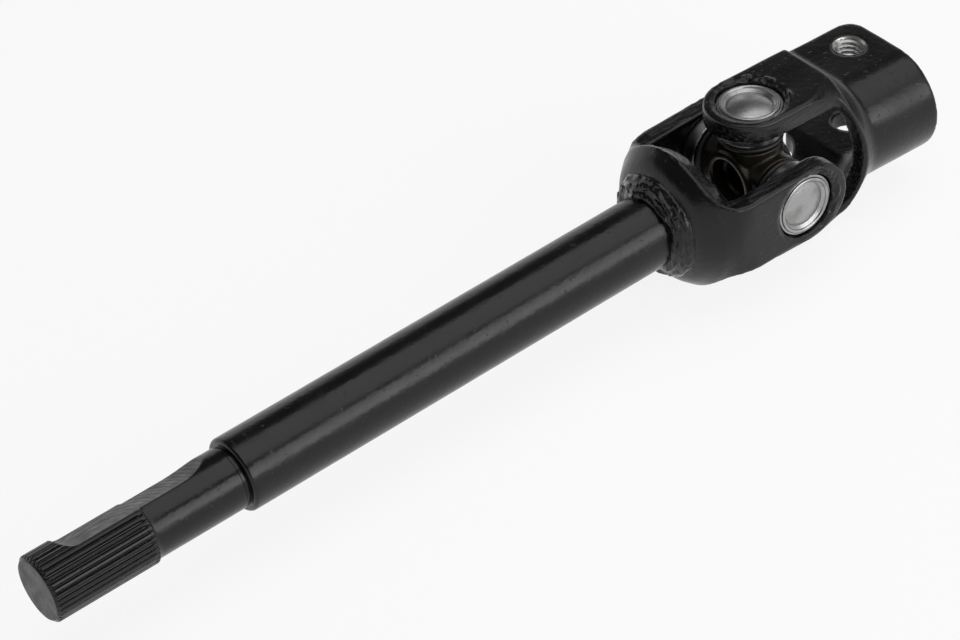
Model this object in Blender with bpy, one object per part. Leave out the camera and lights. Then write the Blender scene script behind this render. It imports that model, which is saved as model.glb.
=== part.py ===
"""Steering shaft with a universal joint, in metres, +Z up.

A turned bar with a serrated end is welded to a stamped yoke. A cross on four needle
bearings joins it to a second stamped yoke, whose U-shaped end clamps the next shaft.
The origin is the centre of the serrated end face and the shaft runs along +X.
"""
import math

import bmesh
import bpy
from mathutils import Matrix, Vector

MM = 0.001

# Fits
SEAT_GAP = 0.3 * MM
NEEDLE_GAP = 0.25 * MM
PAD_GAP = 0.25 * MM

# Shaft, measured from its serrated end face
JOINT_DISTANCE = 204.5 * MM
SHAFT_DIAMETER = 18.2 * MM
SERRATION_DIAMETER = 16.4 * MM
SERRATION_DEPTH = 0.6 * MM
SERRATION_TEETH = 36
SERRATION_LENGTH = 26.6 * MM
NECK_DIAMETER = 15.2 * MM
STEP_DISTANCE = 51.6 * MM
END_CHAMFER = 0.9 * MM
STEP_CHAMFER = 1.0 * MM
GROOVE_WIDTH = 1.6 * MM
GROOVE_DEPTH = 0.4 * MM

# Milled notch for the pinch bolt of the mating part
NOTCH_DEPTH = 2.3 * MM
NOTCH_START = 7.5 * MM
NOTCH_END = 38.0 * MM
NOTCH_START_RADIUS = 2.5 * MM
NOTCH_RUNOUT = 6.0 * MM
NOTCH_ANGLE = math.radians(62.5)

# Rest attitude of the joint, as it lies in the photograph
BEND_ABOUT_SIDE_PIN = math.radians(3.1)

# Both stamped yokes
YOKE_HALF_SPAN = 20.2 * MM
PLATE = 5.2 * MM

# Bearing cups, needles, thrust pads and seals
CUP_DIAMETER = 16.0 * MM
CUP_RECESS = 0.5 * MM
CUP_FACE_DISTANCE = YOKE_HALF_SPAN - CUP_RECESS
CUP_WALL = 1.0 * MM
CUP_FLOOR = 1.5 * MM
CUP_RIM_WIDTH = 0.8 * MM
CUP_DISH = 0.5 * MM
NEEDLE_COUNT = 16
NEEDLE_DIAMETER = 1.8 * MM
NEEDLE_WEB = 0.3
PAD_THICKNESS = 1.0 * MM
PAD_INSET = 0.2 * MM
SEAL_LIP = 0.5 * MM
SEAL_SPACE = 2.0 * MM

# Cross
TRUNNION_DIAMETER = CUP_DIAMETER - 2 * (CUP_WALL + NEEDLE_DIAMETER + 2 * NEEDLE_GAP)
PAD_DIAMETER = TRUNNION_DIAMETER - 2 * PAD_INSET
SHOULDER_CLEARANCE = 1.8 * MM
SHOULDER_DISTANCE = CUP_DIAMETER / 2 + SHOULDER_CLEARANCE
CUP_DEPTH = CUP_FACE_DISTANCE - SEAL_SPACE - SHOULDER_DISTANCE
SHOULDER_INSET = 0.2 * MM
SHOULDER_DIAMETER = CUP_DIAMETER - 2 * SHOULDER_INSET
HUB_THICKNESS = 13.4 * MM
POCKET_DIAMETER = 9.0 * MM
POCKET_DEPTH = 4.6 * MM
CENTRE_DRILL_DIAMETER = 3.2 * MM
CENTRE_DRILL_DEPTH = 1.6 * MM
TRUNNION_CHAMFER = 0.5 * MM

# Shaft yoke, measured from the joint centre
SHAFT_EAR_SIDE = 1.6 * MM
SHAFT_EAR_WIDTH = CUP_DIAMETER + 2 * SHAFT_EAR_SIDE
SHAFT_EAR_TIP = 4.4 * MM
SHAFT_EAR_REACH = CUP_DIAMETER / 2 + SHAFT_EAR_TIP
BOWL_FLOOR_DISTANCE = 29.3 * MM
BOWL_CORNER_RADIUS = 6.6 * MM
BOWL_INNER_CORNER = 3.0 * MM
BOWL_CORNER_REACH = 14.4 * MM
BOWL_CREASE = (-26.6 * MM, 16.7 * MM)
RIM_OUTER = (-24.3 * MM, 18.6 * MM)
BOWL_SHOULDER = (-20.0 * MM, 20.0 * MM)
EARS_FLAT_DISTANCE = 16.0 * MM
RIM_INNER = (-19.3 * MM, 15.5 * MM)
EAR_ROOT_RADIUS = 5.6 * MM
EAR_FAN_ANGLE = 24.0
FLAT_FADE = (math.radians(33.0), math.radians(60.0))

# Weld bead between the shaft and the bowl
WELD_LEG_ALONG_SHAFT = 3.6 * MM
WELD_LEG_ON_BOWL = 4.0 * MM
WELD_TOE = 0.5 * MM
WELD_CROWN = 0.35 * MM

# Clamp yoke, measured from the joint centre
CLAMP_EAR_SIDE = 2.5 * MM
CLAMP_EAR_WIDTH = CUP_DIAMETER + 2 * CLAMP_EAR_SIDE
CLAMP_EAR_TIP = 3.2 * MM
CLAMP_EAR_REACH = CUP_DIAMETER / 2 + CLAMP_EAR_TIP
CLAMP_BORE_DIAMETER = 16.6 * MM
CLAMP_BORE_OFFSET = 1.0 * MM
CLAMP_END_DISTANCE = 47.6 * MM
CLAMP_CORNER = 4.5 * MM
SHOULDER_DISTANCE_ON_CLAMP = 20.5 * MM
SHOULDER_LENGTH = 7.0 * MM
SHOULDER_SHARPNESS = 1.6
EDGE_CURL_START = 9.0 * MM
EDGE_CURL_END = 25.0 * MM
LUG_REACH = 16.5 * MM
LUG_START = 25.0 * MM
LUG_START_CORNER = 1.7 * MM
LUG_ROOT_RADIUS = 3.8 * MM
SIDE_ROOT_START = 18.5 * MM
SIDE_ROOT_END = 23.5 * MM
EAR_FLAT_REACH = 9.0 * MM
FORK_DEPTH = 16.5 * MM
SADDLE_START = 17.0 * MM
SADDLE_BOTTOM = 27.0 * MM
BOLT_DISTANCE = 39.3 * MM
BOLT_OFFSET = 8.2 * MM
TAPPED_DIAMETER = 6.8 * MM
TAPPED_CHAMFER_DIAMETER = 8.7 * MM
TAPPED_CHAMFER_DEPTH = 0.9 * MM
BOLT_CLEARANCE_DIAMETER = 8.6 * MM

TURN_STEPS = 72
BOWL_STEPS = 48
SMALL_TURN_STEPS = 24
RIM_ROWS = 4
WALL_ROWS = 6
NEEDLE_SIDES = 6
ARC_STEP = math.radians(15.0)
TINY = 1e-6
FAR = 60.0 * MM

PAINT = ((0.012, 0.012, 0.014), 0.32, 0.0)
BARE_STEEL = ((0.42, 0.41, 0.40), 0.34, 1.0)
DARK_STEEL = ((0.06, 0.06, 0.062), 0.42, 0.8)
RUBBER = ((0.015, 0.015, 0.016), 0.6, 0.0)
PLASTIC = ((0.55, 0.52, 0.45), 0.5, 0.0)

SIDES = {"near": Vector((0, -1, 0)), "far": Vector((0, 1, 0))}
ENDS = {"top": Vector((0, 0, 1)), "bottom": Vector((0, 0, -1))}


def clear_scene():
    """Removes whatever the scene holds."""
    for item in list(bpy.data.objects):
        bpy.data.objects.remove(item, do_unlink=True)


def material(name, finish):
    """A Principled material from a colour, a roughness and a metallic value."""
    colour, roughness, metallic = finish
    result = bpy.data.materials.new(name)
    result.use_nodes = True
    shader = result.node_tree.nodes["Principled BSDF"]
    shader.inputs["Base Color"].default_value = (*colour, 1.0)
    shader.inputs["Roughness"].default_value = roughness
    shader.inputs["Metallic"].default_value = metallic
    return result


def add_object(name, bm, finish, parent=None):
    """Makes a named object of a closed bmesh, faces out and shaded smooth."""
    bmesh.ops.remove_doubles(bm, verts=bm.verts, dist=TINY)
    bmesh.ops.recalc_face_normals(bm, faces=bm.faces)
    mesh = bpy.data.meshes.new(name)
    bm.to_mesh(mesh)
    bm.free()
    mesh.shade_smooth()
    mesh.set_sharp_from_angle(angle=math.radians(35))
    mesh.materials.append(material(name, finish))
    result = bpy.data.objects.new(name, mesh)
    bpy.context.collection.objects.link(result)
    result.parent = parent
    return result


def add_cutter(name, bm, parent=None):
    """Makes a guide solid that only shapes other pieces."""
    result = add_object(name, bm, PAINT, parent)
    result.hide_render = True
    result.display_type = "WIRE"
    return result


def add_empty(name, parent=None, location=(0.0, 0.0, 0.0), turn=(0.0, 0.0, 0.0)):
    """An empty that carries pieces; its origin lies on a joint axis."""
    result = bpy.data.objects.new(name, None)
    result.empty_display_size = 0.02
    result.location = location
    result.rotation_euler = turn
    result.parent = parent
    bpy.context.collection.objects.link(result)
    return result


def boolean(target, cutter, operation="DIFFERENCE"):
    """Leaves an exact Boolean with a guide solid on a piece."""
    modifier = target.modifiers.new(cutter.name, "BOOLEAN")
    modifier.operation = operation
    modifier.solver = "EXACT"
    modifier.object = cutter


def rounded(corners):
    """A path through (x, y, radius) corners, with each corner's radius as a true arc."""
    path = []
    count = len(corners)
    for i, (x, y, radius) in enumerate(corners):
        corner = Vector((x, y))
        if radius == 0.0:
            path.append((x, y))
            continue
        before = (Vector(corners[i - 1][:2]) - corner).normalized()
        after = (Vector(corners[(i + 1) % count][:2]) - corner).normalized()
        half_angle = before.angle(after) / 2
        centre = corner + (before + after).normalized() * radius / math.sin(half_angle)
        start = corner + before * radius / math.tan(half_angle) - centre
        end = corner + after * radius / math.tan(half_angle) - centre
        sweep = math.atan2(start.cross(end), start.dot(end))
        steps = max(2, math.ceil(abs(sweep) / ARC_STEP))
        for k in range(steps + 1):
            angle = sweep * k / steps
            turned_start = Matrix.Rotation(angle, 2) @ start
            path.append(tuple(centre + turned_start))
    return path


def arc(centre, radius, start, end):
    """Points of an arc from one angle to another, in radians."""
    steps = max(2, math.ceil(abs(end - start) / ARC_STEP))
    angles = [start + (end - start) * k / steps for k in range(steps + 1)]
    return [(centre[0] + radius * math.cos(a), centre[1] + radius * math.sin(a)) for a in angles]


def turned(profile, steps=TURN_STEPS, closed=False):
    """A solid turned about X from (x, radius) points, which start and end on the axis or,
    when closed, run round a ring's section."""
    bm = bmesh.new()
    verts = [bm.verts.new((x, radius, 0.0)) for x, radius in profile]
    pairs = list(zip(verts, verts[1:]))
    if closed:
        pairs.append((verts[-1], verts[0]))
    edges = [bm.edges.new(pair) for pair in pairs]
    bmesh.ops.spin(bm, geom=verts + edges, cent=(0, 0, 0), axis=(1, 0, 0),
                   angle=2 * math.pi, steps=steps, use_merge=True)
    bmesh.ops.remove_doubles(bm, verts=bm.verts, dist=TINY)
    return bm


def prism(outline, low, high, normal):
    """A prism of an outline. Its two numbers are (x, y) along Z, or (x, z) along Y."""
    bm = bmesh.new()
    if normal == "Z":
        points = [(a, b, low) for a, b in outline]
        step = Vector((0.0, 0.0, high - low))
    else:
        points = [(a, low, b) for a, b in outline]
        step = Vector((0.0, high - low, 0.0))
    face = bm.faces.new([bm.verts.new(point) for point in points])
    raised = bmesh.ops.extrude_face_region(bm, geom=[face])["geom"]
    moved = [item for item in raised if isinstance(item, bmesh.types.BMVert)]
    bmesh.ops.translate(bm, verts=moved, vec=step)
    return bm


def skin(rings, closed=False):
    """A solid through a list of rings with as many points each. Its two end rings are
    filled, or joined to each other when closed."""
    bm = bmesh.new()
    loops = [[bm.verts.new(point) for point in ring] for ring in rings]
    pairs = list(zip(loops, loops[1:]))
    if closed:
        pairs.append((loops[-1], loops[0]))
    else:
        bm.faces.new(loops[0])
        bm.faces.new(list(reversed(loops[-1])))
    for first, second in pairs:
        for k in range(len(first)):
            bm.faces.new((first[k - 1], first[k], second[k], second[k - 1]))
    return bm


def smooth_step(value, low, high):
    """Zero below low, one above high and a smooth rise between them."""
    t = min(1.0, max(0.0, (value - low) / (high - low)))
    return t * t * (3.0 - 2.0 * t)


def turn_bm(bm, angle, axis):
    """Turns a bmesh about an axis through the origin."""
    bmesh.ops.rotate(bm, verts=bm.verts, cent=(0, 0, 0), matrix=Matrix.Rotation(angle, 3, axis))
    return bm


def aim(bm, direction):
    """Turns a bmesh built along +X to point along one trunnion."""
    bm.transform(Vector((1, 0, 0)).rotation_difference(direction).to_matrix().to_4x4())
    return bm


def shaft_profile():
    """Half section of the bar, from the serrated end to the bowl's inner floor."""
    serration = SERRATION_DIAMETER / 2
    neck = NECK_DIAMETER / 2
    body = SHAFT_DIAMETER / 2
    weld_end = JOINT_DISTANCE - BOWL_FLOOR_DISTANCE + PLATE
    groove_start = STEP_DISTANCE - GROOVE_WIDTH
    return [
        (0.0, 0.0),
        (0.0, serration - END_CHAMFER),
        (END_CHAMFER, serration),
        (SERRATION_LENGTH, serration),
        (SERRATION_LENGTH + SERRATION_DEPTH, neck),
        (groove_start - GROOVE_DEPTH, neck),
        (groove_start, neck - GROOVE_DEPTH),
        (STEP_DISTANCE, neck - GROOVE_DEPTH),
        (STEP_DISTANCE, body - STEP_CHAMFER),
        (STEP_DISTANCE + STEP_CHAMFER, body),
        (weld_end - END_CHAMFER, body),
        (weld_end, body - END_CHAMFER),
        (weld_end, 0.0),
    ]


def cut_serration(bm):
    """Presses every second line of the turned bar down to the root of the teeth."""
    tooth = 2 * math.pi / SERRATION_TEETH
    root = SERRATION_DIAMETER / 2 - SERRATION_DEPTH
    for vert in bm.verts:
        radius = math.hypot(vert.co.y, vert.co.z)
        if vert.co.x > SERRATION_LENGTH + TINY or radius < root:
            continue
        share = math.atan2(vert.co.z, vert.co.y) / tooth
        if abs(share - round(share)) > 0.25:
            vert.co.y *= root / radius
            vert.co.z *= root / radius


def notch_cutter():
    """The milling cut across the serration, with a long run-out towards the joint."""
    floor = SERRATION_DIAMETER / 2 - NOTCH_DEPTH
    runout_radius = (NOTCH_RUNOUT ** 2 + NOTCH_DEPTH ** 2) / (2 * NOTCH_DEPTH)
    sweep = math.asin(NOTCH_RUNOUT / runout_radius)
    outline = [(NOTCH_START, floor + NOTCH_DEPTH + MM)]
    outline += arc((NOTCH_START + NOTCH_START_RADIUS, floor + NOTCH_START_RADIUS),
                   NOTCH_START_RADIUS, math.pi, 1.5 * math.pi)
    outline += arc((NOTCH_END, floor + runout_radius), runout_radius,
                   1.5 * math.pi, 1.5 * math.pi + sweep)
    outline.append((NOTCH_END + NOTCH_RUNOUT + MM / 2, floor + NOTCH_DEPTH + MM))
    half_width = SHAFT_DIAMETER / 2
    return turn_bm(prism(outline, -half_width, half_width, "Y"), NOTCH_ANGLE - math.pi / 2, "X")


def make_shaft():
    bm = turned(shaft_profile())
    cut_serration(bm)
    shaft = add_object("shaft", bm, PAINT)
    boolean(shaft, add_cutter("notch_cut", notch_cutter()))


def bowl_floor(corner, hole):
    """Section of the bowl's bottom from its hole to the start of its side wall."""
    (floor_x, corner_r, corner_radius), side = corner
    path = rounded([(floor_x, hole, 0.0), (floor_x, corner_r, corner_radius), (*side, 0.0)])
    return path


def wall_radius(x):
    """Outer radius of the yoke's wall at x, before the ears are pressed flat."""
    points = (BOWL_CREASE, RIM_OUTER, BOWL_SHOULDER, (-EARS_FLAT_DISTANCE, YOKE_HALF_SPAN))
    if x >= points[-1][0]:
        return YOKE_HALF_SPAN
    for (x0, r0), (x1, r1) in zip(points, points[1:]):
        if x <= x1:
            return r0 + (r1 - r0) * (x - x0) / (x1 - x0)
    return YOKE_HALF_SPAN


def wall_point(x, angle, radius):
    """Across-axis place of a wall point, round in the bowl and flat in the ears."""
    amount = smooth_step(x, RIM_OUTER[0], -EARS_FLAT_DISTANCE)
    amount *= 1.0 - smooth_step(angle, *FLAT_FADE)
    flat = 1.0 / math.cos(min(angle, FLAT_FADE[1]))
    radius *= 1.0 + amount * (flat - 1.0)
    return radius * math.cos(angle), radius * math.sin(angle)


def wall_angle(x, z, radius):
    """Angle from the ear's middle at which the wall reaches a given z."""
    low, high = 0.0, math.pi / 2
    for _ in range(40):
        middle = (low + high) / 2
        if wall_point(x, middle, radius)[1] < z:
            low = middle
        else:
            high = middle
    return (low + high) / 2


def ear_edge():
    """Edge of the ear in (x, z), from its tip to where its root meets the rim."""
    half = SHAFT_EAR_WIDTH / 2
    root = EAR_ROOT_RADIUS
    centre = (RIM_OUTER[0] + root, half + root)
    head_x = SHAFT_EAR_REACH - half
    edge = arc((head_x, 0.0), half, 0.0, math.pi / 2)
    edge += [(head_x + (centre[0] - head_x) * k / 4, half) for k in range(1, 4)]
    return edge, arc(centre, root, -math.pi / 2, -math.pi)


def edge_rows():
    """Rows from the bowl to the edge: the angle at which each leaves the bowl, then x and
    angle of its outer end and of its inner end."""
    edge, root = ear_edge()
    inner = YOKE_HALF_SPAN - PLATE
    fan = math.radians(EAR_FAN_ANGLE)
    rows = []
    for k, (x, z) in enumerate(edge):
        rows.append((fan * k / len(edge), x, wall_angle(x, z, wall_radius(x)),
                     x, wall_angle(x, z, inner)))
    rim_angle = wall_angle(root[-1][0], root[-1][1], wall_radius(root[-1][0]))
    inner_rim = RIM_INNER[0] - RIM_OUTER[0]
    for k, (x, z) in enumerate(root):
        share = k / (len(root) - 1)
        slant = smooth_step(share, 0.0, 1.0)
        outer_angle = wall_angle(x, z, wall_radius(x))
        inner_x = x + inner_rim * slant
        inner_angle = wall_angle(inner_x, z, inner) * (1.0 - slant) + outer_angle * slant
        rows.append((fan + (rim_angle - fan) * share, x, outer_angle, inner_x, inner_angle))
    for k in range(1, RIM_ROWS + 1):
        angle = rim_angle + (math.pi / 2 - rim_angle) * k / RIM_ROWS
        rows.append((angle, RIM_OUTER[0], angle, RIM_INNER[0], angle))
    return rows


def around(quarter):
    """A whole ring from the points of one quarter, mirrored in both planes."""
    forward = [(x, y, z) for x, y, z in quarter[:-1]]
    back = [(x, -y, z) for x, y, z in reversed(quarter[1:])]
    half = forward + back
    return half + [(x, -y, -z) for x, y, z in half]


def yoke_rings(floor, rows, radius_at, outer):
    """Rings of one face of the yoke, from its hole out to its edge."""
    rings = []
    for x, radius in floor:
        rings.append([(x, radius * math.cos(row[0]), radius * math.sin(row[0]))
                      for row in rows])
    start = floor[-1][0]
    for k in range(1, WALL_ROWS + 1):
        share = k / WALL_ROWS
        ring = []
        for row in rows:
            end_x, end_angle = row[1:3] if outer else row[3:5]
            x = start + (end_x - start) * share
            angle = row[0] + (end_angle - row[0]) * share
            ring.append((x, *wall_point(x, angle, radius_at(x))))
        rings.append(ring)
    return [around(ring) for ring in rings]


def shaft_yoke_solid():
    """The bowl and its two ears as one shell, with its edge cut square to the plate."""
    hole = SHAFT_DIAMETER / 2 + SEAT_GAP
    inner = YOKE_HALF_SPAN - PLATE
    inner_x = PLATE - BOWL_FLOOR_DISTANCE
    wall_start = (inner_x + BOWL_INNER_CORNER + TINY, inner)
    outer_corner = ((-BOWL_FLOOR_DISTANCE, BOWL_CORNER_REACH, BOWL_CORNER_RADIUS), BOWL_CREASE)
    inner_corner = ((inner_x, inner, BOWL_INNER_CORNER), wall_start)
    rows = edge_rows()
    outer = yoke_rings(bowl_floor(outer_corner, hole), rows, wall_radius, True)
    inside = yoke_rings(bowl_floor(inner_corner, hole), rows, lambda x: inner, False)
    return skin(outer + list(reversed(inside)), closed=True)


def bearing_bore(direction, parent, name):
    """A bore for two bearing cups, right through both ears."""
    radius = CUP_DIAMETER / 2 + SEAT_GAP
    bm = turned([(-FAR, 0.0), (-FAR, radius), (FAR, radius), (FAR, 0.0)], BOWL_STEPS)
    return add_cutter(name, aim(bm, direction), parent)


def make_shaft_yoke(parent):
    yoke = add_object("shaft_yoke", shaft_yoke_solid(), PAINT, parent)
    boolean(yoke, bearing_bore(SIDES["far"], parent, "side_bores"))


def make_weld(parent):
    """A fillet ring against the shaft and the bottom of the bowl."""
    low = SHAFT_DIAMETER / 2 + SEAT_GAP
    back = -BOWL_FLOOR_DISTANCE - SEAT_GAP
    toe_x = -BOWL_FLOOR_DISTANCE - WELD_LEG_ALONG_SHAFT
    toe_r = SHAFT_DIAMETER / 2 + WELD_LEG_ON_BOWL
    crown = WELD_CROWN / math.sqrt(2.0)
    middle = ((toe_x + back) / 2 - crown, (low + toe_r) / 2 + crown)
    section = [(toe_x, low), (toe_x, low + WELD_TOE / 2), middle,
               (back - WELD_TOE, toe_r), (back, toe_r), (back, low)]
    add_object("weld_bead", turned(section, BOWL_STEPS, closed=True), PAINT, parent)


def clamp_section(x):
    """Half height, reach of the flats and depth of the clamp yoke's U section at x."""
    share = min(1.0, max(0.0, (x - SHOULDER_DISTANCE_ON_CLAMP) / SHOULDER_LENGTH))
    low = CLAMP_BORE_DIAMETER / 2 + PLATE
    height = low + (YOKE_HALF_SPAN - low) * (1.0 - share) ** SHOULDER_SHARPNESS
    curl = smooth_step(x, EDGE_CURL_START, EDGE_CURL_END)
    flat = EAR_FLAT_REACH + (CLAMP_BORE_OFFSET - EAR_FLAT_REACH) * curl
    closing = smooth_step(share, 0.0, 1.0)
    depth = FORK_DEPTH + (CLAMP_BORE_OFFSET + low - FORK_DEPTH) * closing
    return height, flat, depth


def clamp_ring(x):
    """Outer and inner outline of the U section, open towards +Y."""
    height, flat, depth = clamp_section(x)
    steps = 18
    ring = []
    for inset, order in ((0.0, 1), (PLATE, -1)):
        half = [(LUG_REACH + MM, height - inset)]
        for k in range(steps + 1):
            angle = math.pi / 2 - math.pi * k / steps
            half.append((-flat - (depth - flat - inset) * math.cos(angle),
                         (height - inset) * math.sin(angle)))
        half.append((LUG_REACH + MM, inset - height))
        ring += half[::order]
    return [(x, y, z) for y, z in ring]


def clamp_outline():
    """Ears, side walls and lugs of the clamp yoke, seen along its ear pin."""
    half = CLAMP_EAR_WIDTH / 2
    end = CLAMP_END_DISTANCE
    outline = rounded([
        (0.0, half, 0.0),
        (LUG_START, half, LUG_ROOT_RADIUS),
        (LUG_START, LUG_REACH, LUG_START_CORNER),
        (end, LUG_REACH, CLAMP_CORNER),
        (end, -FORK_DEPTH - MM, 0.0),
        (SIDE_ROOT_END + MM, -FORK_DEPTH - MM, 0.0),
        (SIDE_ROOT_END, -FORK_DEPTH, 0.0),
        (SIDE_ROOT_START, -half, 0.0),
    ])
    head = arc((-CLAMP_EAR_REACH + half, 0.0), half, -math.pi / 2, -1.5 * math.pi)
    return outline + head


def saddle_outline():
    """The opening between the ears, seen along the side pin."""
    half = YOKE_HALF_SPAN - PLATE
    start = -CLAMP_EAR_REACH - MM
    outline = [(start, half), (start, -half), (0.0, -half)]
    for k in range(17):
        angle = -math.pi / 2 + math.pi * k / 16
        outline.append((SADDLE_START + (SADDLE_BOTTOM - SADDLE_START) * math.cos(angle),
                        half * math.sin(angle)))
    outline.append((0.0, half))
    return outline


def bolt_holes():
    """The tapped hole with its chamfer above the slot and the plain hole below it."""
    top = CLAMP_BORE_DIAMETER / 2 + PLATE
    tapped = TAPPED_DIAMETER / 2
    wide = TAPPED_CHAMFER_DIAMETER / 2
    plain = BOLT_CLEARANCE_DIAMETER / 2
    profile = [(-FAR, 0.0), (-FAR, plain), (0.0, plain), (0.0, tapped),
               (top - TAPPED_CHAMFER_DEPTH, tapped), (top, wide), (FAR, wide), (FAR, 0.0)]
    bm = turned(profile, BOWL_STEPS)
    turn_bm(bm, -math.pi / 2, "Y")
    bmesh.ops.translate(bm, verts=bm.verts, vec=(BOLT_DISTANCE, BOLT_OFFSET, 0.0))
    return bm


def make_clamp_yoke(parent):
    start = -CLAMP_EAR_REACH - MM
    curl = SHOULDER_DISTANCE_ON_CLAMP - EDGE_CURL_START
    stations = [start] + [EDGE_CURL_START + curl * k / 4 for k in range(4)]
    stations += [SHOULDER_DISTANCE_ON_CLAMP + SHOULDER_LENGTH * k / 6 for k in range(7)]
    stations.append(CLAMP_END_DISTANCE)
    yoke = add_object("clamp_yoke", skin([clamp_ring(x) for x in stations]), PAINT, parent)
    outline = prism(clamp_outline(), -FAR, FAR, "Z")
    saddle = prism(saddle_outline(), -FAR, 0.0, "Y")
    boolean(yoke, add_cutter("clamp_outline", outline, parent), "INTERSECT")
    boolean(yoke, add_cutter("saddle_opening", saddle, parent))
    boolean(yoke, bearing_bore(ENDS["top"], parent, "ear_bores"))
    boolean(yoke, add_cutter("bolt_holes", bolt_holes(), parent))


def trunnion_end():
    return CUP_FACE_DISTANCE - CUP_FLOOR - PAD_THICKNESS - 2 * PAD_GAP


def trunnion_pair(direction):
    """Two opposite trunnions and their shoulders, turned in one piece."""
    end = trunnion_end()
    radius = TRUNNION_DIAMETER / 2
    drill = CENTRE_DRILL_DIAMETER / 2
    half = [(end - CENTRE_DRILL_DEPTH, 0.0), (end, drill), (end, radius - TRUNNION_CHAMFER),
            (end - TRUNNION_CHAMFER, radius), (SHOULDER_DISTANCE, radius),
            (SHOULDER_DISTANCE, SHOULDER_DIAMETER / 2)]
    profile = half + [(-x, r) for x, r in reversed(half)]
    return aim(turned(profile, SMALL_TURN_STEPS), direction)


def hub_pocket(side):
    """A round pocket forged into one face of the hub."""
    face = HUB_THICKNESS / 2
    radius = POCKET_DIAMETER / 2
    low, high = face - POCKET_DEPTH, face + MM
    bm = turned([(low, 0.0), (low, radius - MM), (low + MM, radius), (high, radius),
                 (high, 0.0)], SMALL_TURN_STEPS)
    if side < 0:
        turn_bm(bm, math.pi, "Z")
    return bm


def make_cross(parent):
    cross = add_object("cross", trunnion_pair(SIDES["far"]), DARK_STEEL, parent)
    boolean(cross, add_cutter("ear_trunnions", trunnion_pair(ENDS["top"]), parent), "UNION")
    half = HUB_THICKNESS / 2
    square = [(-half, -FAR), (half, -FAR), (half, FAR), (-half, FAR)]
    slab = add_cutter("hub_faces", prism(square, -FAR, FAR, "Y"), parent)
    boolean(cross, slab, "INTERSECT")
    for side in (-1, 1):
        name = "hub_pocket_shaft" if side < 0 else "hub_pocket_clamp"
        boolean(cross, add_cutter(name, hub_pocket(side), parent))


def cup_solid():
    """A drawn cup with a dished face and a raised rim round it."""
    outer = CUP_DIAMETER / 2
    inner = outer - CUP_WALL
    face = CUP_FACE_DISTANCE
    mouth = face - CUP_DEPTH
    rim = outer - CUP_RIM_WIDTH
    profile = [(face - CUP_FLOOR, 0.0), (face - CUP_FLOOR, inner), (mouth, inner),
               (mouth, outer), (face - CUP_DISH, outer), (face, rim),
               (face, rim - CUP_RIM_WIDTH), (face - CUP_DISH, rim - 2 * CUP_RIM_WIDTH),
               (face - CUP_DISH, 0.0)]
    return turned(profile, SMALL_TURN_STEPS)


def needle_solids():
    """A full ring of needles, joined where each touches the next."""
    inner = TRUNNION_DIAMETER / 2 + NEEDLE_GAP
    outer = CUP_DIAMETER / 2 - CUP_WALL - NEEDLE_GAP
    low = CUP_FACE_DISTANCE - CUP_DEPTH + SEAT_GAP
    high = CUP_FACE_DISTANCE - CUP_FLOOR - PAD_THICKNESS - PAD_GAP - SEAT_GAP
    section = [(low, inner), (low, outer), (high, outer), (high, inner)]
    bm = turned(section, NEEDLE_COUNT * NEEDLE_SIDES // 2, closed=True)
    middle = (inner + outer) / 2
    pitch = 2 * math.pi / NEEDLE_COUNT
    for vert in bm.verts:
        radius = math.hypot(vert.co.y, vert.co.z)
        share = math.atan2(vert.co.z, vert.co.y) / pitch
        if abs(share - round(share)) < 0.1:
            scale = (middle + (radius - middle) * NEEDLE_WEB) / radius
            vert.co.y *= scale
            vert.co.z *= scale
    return bm


def pad_solid():
    """A thrust pad between a trunnion's end and the cup's floor."""
    low = trunnion_end() + PAD_GAP
    radius = PAD_DIAMETER / 2
    high = low + PAD_THICKNESS
    return turned([(low, 0.0), (low, radius), (high, radius), (high, 0.0)], SMALL_TURN_STEPS)


def seal_solid():
    """A lipped seal between the cross's shoulder and the cup's mouth."""
    low = SHOULDER_DISTANCE + SEAT_GAP
    high = CUP_FACE_DISTANCE - CUP_DEPTH - SEAT_GAP
    inner = TRUNNION_DIAMETER / 2 + SEAT_GAP
    outer = CUP_DIAMETER / 2
    middle = (low + high) / 2
    section = [(low, inner), (high, inner), (high, outer - SEAL_LIP), (middle, outer),
               (low, outer - SEAL_LIP)]
    return turned(section, SMALL_TURN_STEPS, closed=True)


def make_bearing(name, direction, ear_parent, cross_parent):
    """The cup, needles and pad in one ear, and the seal that stays on the cross."""
    add_object("bearing_cup_" + name, aim(cup_solid(), direction), BARE_STEEL, ear_parent)
    add_object("needle_rollers_" + name, aim(needle_solids(), direction), BARE_STEEL, ear_parent)
    add_object("thrust_pad_" + name, aim(pad_solid(), direction), PLASTIC, ear_parent)
    add_object("trunnion_seal_" + name, aim(seal_solid(), direction), RUBBER, cross_parent)


def main():
    clear_scene()
    make_shaft()
    joint = add_empty("joint_centre", location=(JOINT_DISTANCE, 0.0, 0.0))
    bent = add_empty("side_pin_axis", joint, turn=(0.0, BEND_ABOUT_SIDE_PIN, 0.0))
    make_shaft_yoke(joint)
    make_weld(joint)
    make_cross(bent)
    make_clamp_yoke(bent)
    for name, direction in SIDES.items():
        make_bearing(name, direction, joint, bent)
    for name, direction in ENDS.items():
        make_bearing(name, direction, bent, bent)


main()
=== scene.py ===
"""Looks of a steering shaft with a welded universal joint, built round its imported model.

It is laid out as an add-on and run as a script. The origin is the centre of the
serrated end face, the shaft runs along +X and +Z is up. Lengths are in metres.
"""

import math

import bmesh
import bpy
import numpy as np
from bpy.props import FloatProperty, FloatVectorProperty, IntProperty, PointerProperty
from mathutils import Matrix, Vector


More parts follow.
